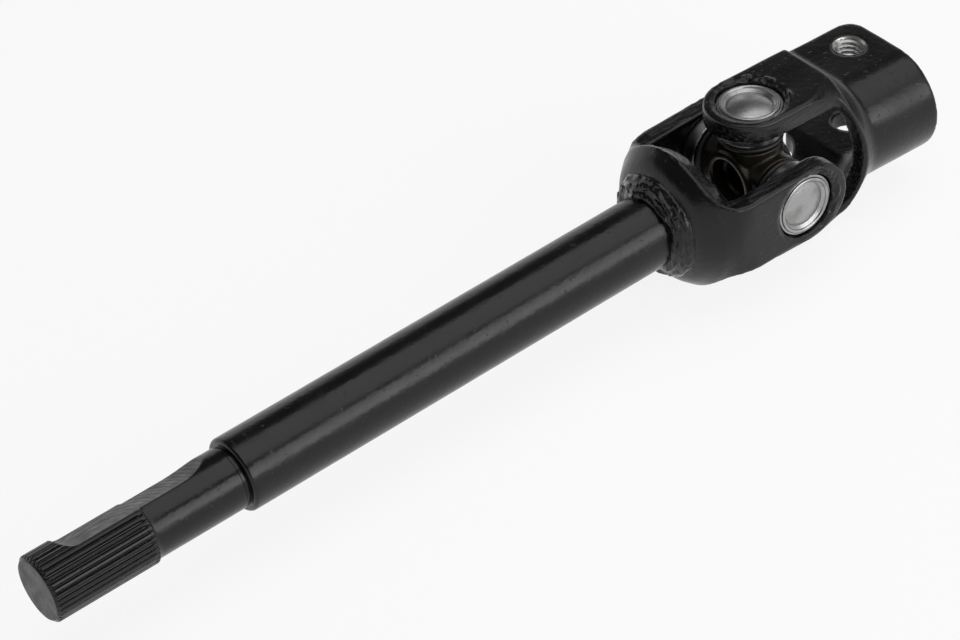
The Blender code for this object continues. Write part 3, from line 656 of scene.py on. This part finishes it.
def edge_rows(sizes):
    """Rows from the bowl to the plate's edge over one quarter: where each leaves the bowl,
    then x and angle of its outer end and of its inner end. The edge is the ear's round
    head, its straight side, a concave root and the bowl's rim."""
    half, root = sizes.ear_width / 2, sizes.ear_root
    inner = sizes.half_span - sizes.plate
    head_x = sizes.ear_reach - half
    centre = (RIM[0] + root, half + root)
    side = np.stack([np.linspace(head_x, centre[0], 12)[1:-1], np.full(10, half)], axis=-1)
    x, z = np.concatenate([arc((head_x, 0.0), half, 0.0, math.pi / 2, 26), side]).T
    ear = np.stack([EAR_FAN * np.arange(len(x)) / len(x), x,
                    wall_angle(x, z, wall_radius(x, sizes)), x, wall_angle(x, z, inner)],
                   axis=-1)
    x, z = arc(centre, root, -math.pi / 2, -math.pi, 16).T
    share = np.linspace(0.0, 1.0, len(x))
    slant = smooth_step(share, 0.0, 1.0)
    outer_angle = wall_angle(x, z, wall_radius(x, sizes))
    inner_x = x + (RIM_INNER_X - RIM[0]) * slant
    inner_angle = wall_angle(inner_x, z, inner) * (1.0 - slant) + outer_angle * slant
    corner = np.stack([EAR_FAN + (outer_angle[-1] - EAR_FAN) * share, x, outer_angle,
                       inner_x, inner_angle], axis=-1)
    angle = np.linspace(outer_angle[-1], math.pi / 2, 13)[1:]
    rim = np.stack([angle, np.full(12, RIM[0]), angle, np.full(12, RIM_INNER_X), angle],
                   axis=-1)
    return np.concatenate([ear, corner, rim])


def yoke_skin(floor, rows, radius_at, outer):
    """Rings of one face of the yoke over a quarter, mirrored in both planes: the floor's
    section turned, then a wall whose x and angle run evenly from bowl to edge."""
    x, radius = floor.T[..., None]
    bowl = np.stack([x + 0.0 * rows[:, 0], radius * np.cos(rows[:, 0]),
                     radius * np.sin(rows[:, 0])], axis=-1)
    end_x, end_angle = rows[:, (1, 2) if outer else (3, 4)].T
    share = np.linspace(0.0, 1.0, 31)[1:, None]
    x = floor[-1, 0] + (end_x - floor[-1, 0]) * share
    angle = rows[:, 0] + (end_angle - rows[:, 0]) * share
    wall = np.stack([x, *wall_point(x, angle, radius_at(x))], axis=-1)
    quarter = np.concatenate([bowl, wall])
    half = np.concatenate([quarter[:, :-1], quarter[:, :0:-1] * (1.0, -1.0, 1.0)], axis=1)
    return np.concatenate([half, half * (1.0, -1.0, -1.0)], axis=1)


def shaft_yoke_grid(sizes, hole):
    """Bowl and ears as one closed shell: the outer rings, then the inner rings back."""
    inner = sizes.half_span - sizes.plate
    inner_x = sizes.plate - sizes.floor
    outer_floor = rounded([(-sizes.floor, hole, 0.0),
                           (-sizes.floor, sizes.corner_reach, sizes.corner),
                           (*CREASE, 0.0)])
    inner_floor = rounded([(inner_x, hole, 0.0), (inner_x, inner, sizes.inner_corner),
                           (inner_x + sizes.inner_corner + MERGE, inner, 0.0)])
    rows = edge_rows(sizes)
    outer = yoke_skin(outer_floor, rows, lambda x: wall_radius(x, sizes), True)
    inside = yoke_skin(inner_floor, rows, lambda x: inner + 0.0 * x, False)
    return np.concatenate([outer, inside[::-1]])


def pressed_surface(mesh, axis, face, turn, seed):
    """Gives a pressed yoke the staking round its cups and waves of 0.03 mm along its
    normals. Within a ring about the pin, points on the ear's face sink by a bell of the
    radius times an irregular wave of the angle, and rise in a burr outside it."""
    points = read_points(mesh)
    across, along = (k for k in range(3) if k != axis)
    radius = np.hypot(points[:, across], points[:, along])
    angle = np.arctan2(points[:, along], points[:, across])
    sector = 0.3 + 1.2 * smooth_step(np.cos(angle - 0.4), 0.1, 0.8)
    angle = angle + turn
    marks = (np.sin(9.0 * angle + 1.5 * np.sin(2.0 * angle)) * 0.5 + 0.5) ** 2
    marks = 1.3 * marks + 0.35 * np.sin(23.0 * angle + 2.0 * np.sin(5.0 * angle))
    groove = bump_at(radius, 8.8 * MM, 0.42 * MM) * (0.3 + 0.7 * marks * sector)
    burr = bump_at(radius, 9.6 * MM, 0.4 * MM) * marks * sector
    near = smooth_step(np.abs(points[:, axis]), face - 1.6 * MM, face - 0.5 * MM)
    side = np.sign(points[:, axis])
    points[:, axis] -= side * near * (0.6 * groove - 0.28 * burr) * MM
    normals = read_points(mesh, "normal")
    points = points + normals * waves(points, 9 * MM, seed)[:, None] * 0.03 * MM
    write_points(mesh, points)
    return points


def clamp_section(x, sizes, plate, half_span):
    """Half height, reach of the flats and depth of the U at x. The ears draw in to the
    clamp's height over the shoulder, and the flats curl into a round bottom."""
    share = np.clip((x - sizes.shoulder) / sizes.shoulder_length, 0.0, 1.0)
    low = sizes.bore / 2 + plate
    height = low + (half_span - low) * (1.0 - share) ** 1.6
    flat = FLAT_REACH + (sizes.bore_offset - FLAT_REACH) * smooth_step(x, *CURL)
    round_depth = sizes.bore_offset + low
    depth = sizes.fork_depth + (round_depth - sizes.fork_depth) * smooth_step(share, 0.0, 1.0)
    return height, flat, depth


def clamp_grid(sizes, plate, half_span):
    """The U as a grid of (x, round the outline): two straight sides joined by half an
    ellipse, outside and then inside by the plate's thickness."""
    x = np.concatenate([np.linspace(-13.0, 9.0, 8), np.linspace(9.7, 28.0, 50),
                        np.linspace(30.0, 50.0, 8)])[:, None] * MM
    height, flat, depth = clamp_section(x, sizes, plate, half_span)
    angle = np.linspace(math.pi / 2, -math.pi / 2, 61)[None, :]
    straight = np.linspace(1.0, 0.0, 9)[None, :-1]
    loops = []
    for inset, order in ((0.0, 1), (plate, -1)):
        reach = sizes.lug_reach + MM
        side_y = -flat + (reach + flat) * straight
        bend_y = -flat - (depth - flat - inset) * np.cos(angle)
        bend_z = (height - inset) * np.sin(angle)
        y = np.concatenate([side_y, bend_y, side_y[:, ::-1]], axis=1)
        z = np.concatenate([height - inset + 0.0 * side_y, bend_z,
                            inset - height + 0.0 * side_y], axis=1)
        loops.append(np.stack([x + 0.0 * y, y, z], axis=-1)[:, ::order])
    return np.concatenate(loops, axis=1)


def clamp_cuts(sizes, plate, half_span):
    """What shapes the U: the side view of ears and lugs, the opening between the ears,
    the pin's bores and the bolt's holes."""
    half, back = sizes.ear_width / 2, -sizes.fork_depth
    outline = rounded([(0.0, half, 0.0), (sizes.lug_start, half, 3.8 * MM),
                       (sizes.lug_start, sizes.lug_reach, 1.7 * MM),
                       (sizes.end, sizes.lug_reach, sizes.corner),
                       (sizes.end, back - MM, 0.0), (24.5 * MM, back - MM, 0.0),
                       (23.5 * MM, back, 0.0), (18.5 * MM, -half, 0.0)])
    head = arc((-sizes.ear_reach + half, 0.0), half, -math.pi / 2, -1.5 * math.pi, 40)
    inner = half_span - plate
    mouth = arc((0.0, 0.0), 1.0, -math.pi / 2, math.pi / 2, 40) * (sizes.saddle, inner)
    start = -sizes.ear_reach - 2 * MM
    saddle = np.concatenate([[(start, inner), (start, -inner), (0.0, -inner)],
                             mouth + (SADDLE_X, 0.0), [(0.0, inner)]])
    bores = aimed(cylinder(FAR, settings("bearing").cup / 2 + FIT), ENDS["top"])
    plain, tapped = 4.3 * MM, sizes.thread_root / 2 + 0.15 * MM
    holes = closed_mesh("holes", turned([(-FAR, 0.0), (-FAR, plain), (0.0, plain),
                                         (0.0, tapped), (FAR, tapped), (FAR, 0.0)], 72))
    holes = aimed(holes, ENDS["top"])
    holes.transform(Matrix.Translation((sizes.bolt_distance, sizes.bolt_offset, 0.0)))
    return [("INTERSECT", prism(np.concatenate([outline, head]), -FAR, FAR, "Z")),
            ("DIFFERENCE", prism(saddle, -FAR, 0.0, "Y")),
            ("DIFFERENCE", bores), ("DIFFERENCE", holes)]


def cut_edge_of_bowl(points, sizes):
    """One on the sheared edges of the shaft yoke, zero on its two pressed faces: a step of
    the depth below the outer face times a step of the height over the inner one."""
    x, y, z = points.T
    distance = np.where(x > FLAT_X, np.abs(y), np.hypot(y, z))
    depth = wall_radius(x, sizes) - distance
    height = distance - (sizes.half_span - sizes.plate)
    amount = smooth_step(depth, 0.5 * MM, 1.1 * MM) * smooth_step(height, 0.4 * MM, MM)
    return amount * smooth_step(x, RIM[0] - 0.7 * MM, RIM[0] + 0.1 * MM)


def cut_edge_of_clamp(points, sizes, plate, half_span):
    """One on the sheared edges of the clamp yoke, zero on its two pressed faces."""
    x, y, z = points.T
    height, flat, depth = clamp_section(x, sizes, plate, half_span)
    below = np.maximum(-y - flat, 0.0)
    outer = np.hypot(below / (depth - flat), z / height)
    inner = np.hypot(below / (depth - flat - plate), z / (height - plate))
    return smooth_step(1.0 - outer, 0.03, 0.07) * smooth_step(inner - 1.0, 0.03, 0.07)


def thread_grid(sizes, plate):
    """The tapped thread as a ring of (height, angle): inside, a triangle wave of height
    over pitch minus angle over a turn, widened by the lead-in cone; outside, a cylinder."""
    top = sizes.bore / 2 + plate
    height = np.linspace(top - plate + 0.15 * MM, top - 0.1 * MM, 66)[:, None]
    angle = np.arange(96)[None, :] * TURN / 96
    crest, root = sizes.thread_crest / 2, sizes.thread_root / 2
    turn = np.mod(height / sizes.thread_pitch - angle / TURN, 1.0)
    wave = np.clip(2.6 * np.abs(turn - 0.5) - 0.15, 0.0, 1.0)
    cone = crest + (height - top + 0.9 * MM) * 0.75
    inner = np.maximum(crest + (root - crest) * wave, np.minimum(cone, root))
    outer = np.full_like(inner, root + 0.2 * MM)
    radius = np.concatenate([inner, outer[::-1]])
    level = np.concatenate([height, height[::-1]]) + 0.0 * angle
    grid = np.stack([radius * np.cos(angle), radius * np.sin(angle), level], axis=-1)
    return grid + (sizes.bolt_distance, sizes.bolt_offset, 0.0)


def cup_profile(sizes):
    """Half section of a drawn cup, with a rolled rim about its dished face."""
    outer, face = sizes.cup / 2, sizes.face
    inner, mouth = outer - sizes.wall, face - sizes.depth
    rim = outer - 1.15 * MM
    dish = face - 0.5 * MM
    roll = arc((dish, rim), 0.5 * MM, math.pi / 2, -math.pi / 2, 10)
    edge, ball = rim - 1.2 * MM, 14.5 * MM
    radius = edge * (1.0 - np.linspace(0.0, 1.0, 20))
    dome = np.stack([dish - 0.55 * MM + np.sqrt(ball ** 2 - radius ** 2)
                     - math.sqrt(ball ** 2 - edge ** 2), radius], axis=-1)
    return np.concatenate([
        [(face - sizes.floor, 0.0), (face - sizes.floor, inner), (mouth, inner)],
        arc((mouth + 0.4 * MM, outer - 0.4 * MM), 0.4 * MM, -math.pi, -1.5 * math.pi, 4),
        [(dish - 0.7 * MM, outer)],
        arc((dish - 0.35 * MM, outer - 0.35 * MM), 0.35 * MM, math.pi / 2, 0.0, 4),
        roll,
        dome])


def seal_profile(sizes):
    """Section of a lipped seal between the cross's shoulder and the cup's mouth."""
    low, high = sizes.shoulder + 0.3 * MM, sizes.face - sizes.depth - 0.3 * MM
    inner, outer = sizes.trunnion / 2 + 0.3 * MM, sizes.cup / 2
    lip = arc(((low + high) / 2, outer - 0.55 * MM), 0.55 * MM, 0.8, math.pi - 0.8, 8)
    return np.concatenate([[(low, inner), (high, inner), (high, outer - 0.9 * MM)], lip,
                           [(low, outer - 0.9 * MM)]])


def trunnion_mesh(sizes, direction):
    """Two opposite trunnions and their shoulders turned in one piece."""
    end = sizes.face - sizes.floor - 1.5 * MM
    radius, wide = sizes.trunnion / 2, sizes.shoulder_diameter / 2
    half = np.array([(end - 1.6 * MM, 0.0), (end, 1.6 * MM), (end, radius - 0.5 * MM),
                     (end - 0.5 * MM, radius), (sizes.shoulder, radius),
                     (sizes.shoulder, wide)])
    mesh = closed_mesh("trunnions", turned(np.concatenate([half, half[::-1] * (-1, 1)]), 96))
    return aimed(mesh, direction)


def pocket_mesh(sizes, side):
    """A round pocket of the hub, with a rounded bottom."""
    face, radius = sizes.hub / 2, sizes.pocket / 2
    low = face - sizes.pocket_depth + 0.7 * MM
    bottom = arc((low + 1.5 * MM, radius - 1.5 * MM), 1.5 * MM, math.pi, math.pi / 2, 8)
    profile = np.concatenate([[(low, 0.0)], bottom, [(face + MM, radius), (face + MM, 0.0)]])
    return aimed(closed_mesh("pocket", turned(profile, 72)), (side, 0.0, 0.0))


class BuildShaft(bpy.types.Operator):
    """Builds the bar with its serration, milled notch and relief groove"""

    bl_idname = "steering.build_shaft"
    bl_label = "Shaft"

    def execute(self, context):
        sizes, yoke, finish = settings("shaft"), settings("yoke"), settings("finish")
        grid, marks = shaft_grid(sizes, CENTRE[0] - yoke.floor + yoke.plate)
        materials = [black_paint("shaft_black_paint", 0.22),
                     milled_steel("notch_milled_steel", finish.milled, 1.3 * MM,
                                  (-0.018, 0.006, 0.002), 0.0),
                     milled_steel("end_face_sawn_steel", finish.end_face, 0.5 * MM,
                                  (0.004, 0.02, 0.0), 0.35)]
        mesh = closed_mesh("shaft_bar", grid, marks=marks)
        add_piece("shaft_bar", mesh, materials, "shaft_side", ["shaft"])
        return {"FINISHED"}


class BuildWeld(bpy.types.Operator):
    """Builds the weld between the bar and the bowl"""

    bl_idname = "steering.build_weld"
    bl_label = "Weld"

    def execute(self, context):
        grid = weld_grid(settings("yoke"), settings("shaft").diameter)
        mesh = closed_mesh("weld_passes", grid, wrap_rows=True)
        points = read_points(mesh)
        rough = waves(points, 3.0 * MM, 11) * 0.13 * MM
        rough = rough + waves(points, 1.4 * MM, 12) * 0.04 * MM
        points = points + read_points(mesh, "normal") * rough[:, None]
        write_points(mesh, points)
        # Streaks over the weld: raised ripples, with a painted sheen in their paler shade.
        weld_streaks_and_sheen = np.clip(0.35 + 0.6 * waves(points, 6.0 * MM, 13), 0.0, 1.0)
        write_attribute(mesh, "streaks_and_painted_sheen", weld_streaks_and_sheen)
        mesh.transform(joint_place(False))
        paint = black_paint("weld_black_paint", 0.16, 0.08 * MM, "Z", 0.05 * MM)
        add_piece("weld_passes", mesh, [paint], "shaft_side", ["weld_bead"], 60.0)
        return {"FINISHED"}


class BuildShaftYoke(bpy.types.Operator):
    """Builds the bowl-shaped yoke that is welded to the bar"""

    bl_idname = "steering.build_shaft_yoke"
    bl_label = "Shaft yoke"

    def execute(self, context):
        sizes = settings("yoke")
        grid = shaft_yoke_grid(sizes, settings("shaft").diameter / 2 + FIT)
        bores = aimed(cylinder(FAR, settings("bearing").cup / 2 + FIT), SIDES["far"])
        mesh = formed(closed_mesh("bowl", grid, wrap_rows=True), [("DIFFERENCE", bores)],
                      sizes.cell, PRESSED_PASSES)
        points = pressed_surface(mesh, 1, sizes.half_span, 0.7, 3)
        # The sheared edges get raised streaks and a paler shade that is partly a painted sheen.
        write_attribute(mesh, "streaks_and_painted_sheen", cut_edge_of_bowl(points, sizes))
        mesh.transform(joint_place(False))
        paint = black_paint("shaft_yoke_black_paint", 0.24, streak_axis="X")
        add_piece("shaft_yoke_pressing", mesh, [paint], "shaft_side",
                  ["shaft_yoke"], 180.0)
        return {"FINISHED"}


class BuildClampYoke(bpy.types.Operator):
    """Builds the U-shaped yoke that clamps the next shaft, and its tapped thread"""

    bl_idname = "steering.build_clamp_yoke"
    bl_label = "Clamp yoke"

    def execute(self, context):
        sizes, yoke = settings("clamp"), settings("yoke")
        plate, span = yoke.plate, yoke.half_span
        block = closed_mesh("channel", clamp_grid(sizes, plate, span), cap=True)
        mesh = formed(block, clamp_cuts(sizes, plate, span), yoke.cell, PRESSED_PASSES)
        points = pressed_surface(mesh, 2, span, 2.1, 5)
        # The sheared edges get raised streaks and a paler shade that is partly a painted sheen.
        write_attribute(mesh, "streaks_and_painted_sheen", cut_edge_of_clamp(points, sizes, plate, span))
        mesh.transform(joint_place(True))
        paint = black_paint("clamp_yoke_black_paint", 0.24, streak_axis="X")
        add_piece("clamp_yoke_pressing", mesh, [paint], "clamp_side",
                  ["clamp_yoke"], 180.0)
        thread = closed_mesh("tapped_thread", thread_grid(sizes, plate), wrap_rows=True)
        thread.transform(joint_place(True))
        steel = plain_grain("thread_cut_steel", settings("finish").thread, 0.3, 0.3 * MM, 1.0)
        add_piece("tapped_thread", thread, [steel], "clamp_side")
        return {"FINISHED"}


class BuildCross(bpy.types.Operator):
    """Builds the forged cross and the four seals on it"""

    bl_idname = "steering.build_cross"
    bl_label = "Cross and seals"

    def execute(self, context):
        sizes, finish = settings("bearing"), settings("finish")
        half = sizes.hub / 2
        square = np.array([(-half, -FAR), (half, -FAR), (half, FAR), (-half, FAR)])
        boss = cylinder(half + 0.7 * MM, sizes.shoulder_diameter / 2)
        cuts = [("UNION", trunnion_mesh(sizes, ENDS["top"])),
                ("INTERSECT", prism(square, -FAR, FAR, "Y")), ("UNION", boss)]
        cuts += [("DIFFERENCE", pocket_mesh(sizes, side)) for side in (-1.0, 1.0)]
        mesh = formed(trunnion_mesh(sizes, SIDES["far"]), cuts, FORGED_CELL, FORGED_PASSES)
        mesh.transform(joint_place(True))
        steel = forged_steel("cross_forged_steel", finish.cross)
        add_piece("cross_forging", mesh, [steel], "cross_side", ["cross"], 180.0)
        rubber = plain_grain("seal_nitrile_rubber", finish.rubber, 0.5, 0.3 * MM)
        for name, direction in {**SIDES, **ENDS}.items():
            seal = closed_mesh("seal", turned(seal_profile(sizes), 96), wrap_rows=True)
            aimed(seal, direction).transform(joint_place(True))
            add_piece("lip_seal_" + name, seal, [rubber], "cross_side",
                      ["trunnion_seal_" + name])
        return {"FINISHED"}


class BuildBearings(bpy.types.Operator):
    """Builds the four bearing cups and finishes the needles and pads inside them"""

    bl_idname = "steering.build_bearings"
    bl_label = "Bearings"

    def execute(self, context):
        sizes, finish = settings("bearing"), settings("finish")
        steel = bare_steel("cup_satin_steel", finish.cup, 0.27, 0.35 * MM)
        needle = plain_grain("needle_ground_steel", finish.cup, 0.25, 0.2 * MM, 1.0)
        pad = plain_grain("pad_acetal", finish.pad, 0.5, 0.4 * MM)
        for name, direction in {**SIDES, **ENDS}.items():
            cup = closed_mesh("cup", turned(cup_profile(sizes), 120))
            write_attribute(cup, "turned_radius", np.hypot(*read_points(cup)[:, 1:].T))
            aimed(cup, direction).transform(joint_place(name in ENDS))
            body = "clamp_side" if name in ENDS else "shaft_side"
            add_piece("drawn_cup_" + name, cup, [steel], body,
                      ["bearing_cup_" + name])
            for node, inside in (("needle_rollers_", needle), ("thrust_pad_", pad)):
                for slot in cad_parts[node + name].material_slots:
                    slot.material = inside
        return {"FINISHED"}


class BuildStudio(bpy.types.Operator):
    """Builds the floor, the backdrop, the lights and the camera"""

    bl_idname = "steering.build_studio"
    bl_label = "Studio"

    def execute(self, context):
        scene = bpy.context.scene
        self.floor(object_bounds()[0].z - 0.2 * MM)
        self.world(scene)
        self.lamp("overhead_softbox", (0.7, -0.25, 1.3), (0.7, -0.2, 0.0), 2.0, 1.5, 13.0)
        self.lamp("front_softbox", (0.6, -1.3, 0.6), (0.12, 0.0, 0.0), 1.6, 0.8, 11.5)
        self.camera(scene)
        scene.view_settings.view_transform = "Standard"
        return {"FINISHED"}

    def floor(self, base):
        """A pale floor that curves up into a wall all round: radius against height."""
        curve = arc((1.6, 1.2), 1.2, -math.pi / 2, 0.0, 20)
        profile = np.concatenate([[(0.0, 0.0), (0.4, 0.0), (1.0, 0.0)], curve])
        radius, height = profile.T[..., None]
        angle = np.arange(96) * TURN / 96
        grid = np.stack([radius * np.cos(angle) + CENTRE[0] / 2, radius * np.sin(angle),
                         height + base + 0.0 * angle], axis=-1)
        mesh = closed_mesh("studio_floor", grid)
        mesh.flip_normals()
        mesh.shade_smooth()
        mesh.materials.append(self.floor_material())
        floor = bpy.data.objects.new("studio_floor", mesh)
        bpy.context.scene.collection.objects.link(floor)
        floor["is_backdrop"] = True

    def floor_material(self):
        """Matte white board that the camera and gloss see as nearly white, with shadows."""
        shade = settings("finish").floor
        result, tree, shader, _ = start_material("studio_white_board", shade, 0.9)
        rays = add_node(tree, "LightPath").node.outputs
        seen = add_node(tree, "Math", {"operation": "MAXIMUM", 0: rays["Is Camera Ray"],
                                       1: rays["Is Glossy Ray"]})
        seen = add_node(tree, "Math", {"operation": "MAXIMUM", 0: seen,
                                       1: rays["Is Transmission Ray"]})
        share = add_node(tree, "Math", {"operation": "MULTIPLY", 0: seen, 1: 0.87})
        glow = add_node(tree, "Emission", {"Color": (1.0, 1.0, 1.0, 1.0), "Strength": 1.0})
        mixed = add_node(tree, "MixShader", {0: share, 1: shader.outputs[0], 2: glow})
        set_node(tree, tree.nodes["Material Output"], {"Surface": mixed})
        return result

    def world(self, scene):
        """Dim grey air as fill light, which the camera sees as white."""
        world = bpy.data.worlds.new("studio_air")
        world.use_nodes = True
        tree = world.node_tree
        seen = add_node(tree, "LightPath", output="Is Camera Ray")
        strength = add_node(tree, "MapRange", {"Value": seen, "To Min": 0.12, "To Max": 1.0})
        set_node(tree, tree.nodes["Background"], {"Color": (1.0, 1.0, 1.0, 1.0),
                                                  "Strength": strength})
        scene.world = world

    def lamp(self, name, place, target, wide, high, power):
        """A soft rectangular lamp that faces a point."""
        data = bpy.data.lights.new(name, "AREA")
        data.shape, data.size, data.size_y, data.energy = "RECTANGLE", wide, high, power
        lamp = bpy.data.objects.new(name, data)
        lamp.location = place
        aim = Vector(target) - Vector(place)
        lamp.rotation_mode = "QUATERNION"
        lamp.rotation_quaternion = aim.to_track_quat("-Z", "Y")
        lamp.visible_camera = False
        bpy.context.scene.collection.objects.link(lamp)

    def camera(self, scene):
        """The photograph's viewpoint, from directions measured on the object's edges."""
        data = bpy.data.cameras.new("photo_camera")
        data.sensor_width, data.lens = 36.0, 140.84
        data.clip_start, data.clip_end = 0.05, 20.0
        right = Vector((0.7784, -0.6201, -0.0978)).normalized()
        forward = Vector((0.4290, 0.6392, -0.6383)).normalized()
        up = right.cross(forward).normalized()
        right = forward.cross(up)
        camera = bpy.data.objects.new("photo_camera", data)
        turn = Matrix((right, up, -forward)).transposed().to_4x4()
        camera.matrix_world = Matrix.Translation((-0.2449, -0.5470, 0.5489)) @ turn
        scene.collection.objects.link(camera)
        scene.camera = camera


BUILDERS = (BuildShaft, BuildWeld, BuildShaftYoke, BuildClampYoke, BuildCross, BuildBearings,
            BuildStudio)


class ShaftPanel(bpy.types.Panel):
    """Lists the builders and their settings"""

    bl_idname = "VIEW3D_PT_steering_shaft"
    bl_label = "Steering shaft"
    bl_space_type = "VIEW_3D"
    bl_region_type = "UI"
    bl_category = "Shaft"

    def draw(self, context):
        for builder in BUILDERS:
            self.layout.operator(builder.bl_idname)
        for group in SETTINGS:
            box = self.layout.box()
            box.label(text=group.capitalize())
            values = getattr(context.scene, "steering_" + group)
            for name in values.__annotations__:
                box.prop(values, name)


def register():
    """Registers the settings, the builders and the panel."""
    for group, kind in SETTINGS.items():
        bpy.utils.register_class(kind)
        setattr(bpy.types.Scene, "steering_" + group, PointerProperty(type=kind))
    for kind in (*BUILDERS, ShaftPanel):
        bpy.utils.register_class(kind)


def unregister():
    """Takes away what register added."""
    for kind in (ShaftPanel, *reversed(BUILDERS)):
        bpy.utils.unregister_class(kind)
    for group, kind in SETTINGS.items():
        delattr(bpy.types.Scene, "steering_" + group)
        bpy.utils.unregister_class(kind)


def main():
    """Builds everything in order."""
    register()
    for builder in BUILDERS:
        group, name = builder.bl_idname.split(".")
        getattr(getattr(bpy.ops, group), name)()


if __name__ == "__main__":
    main()
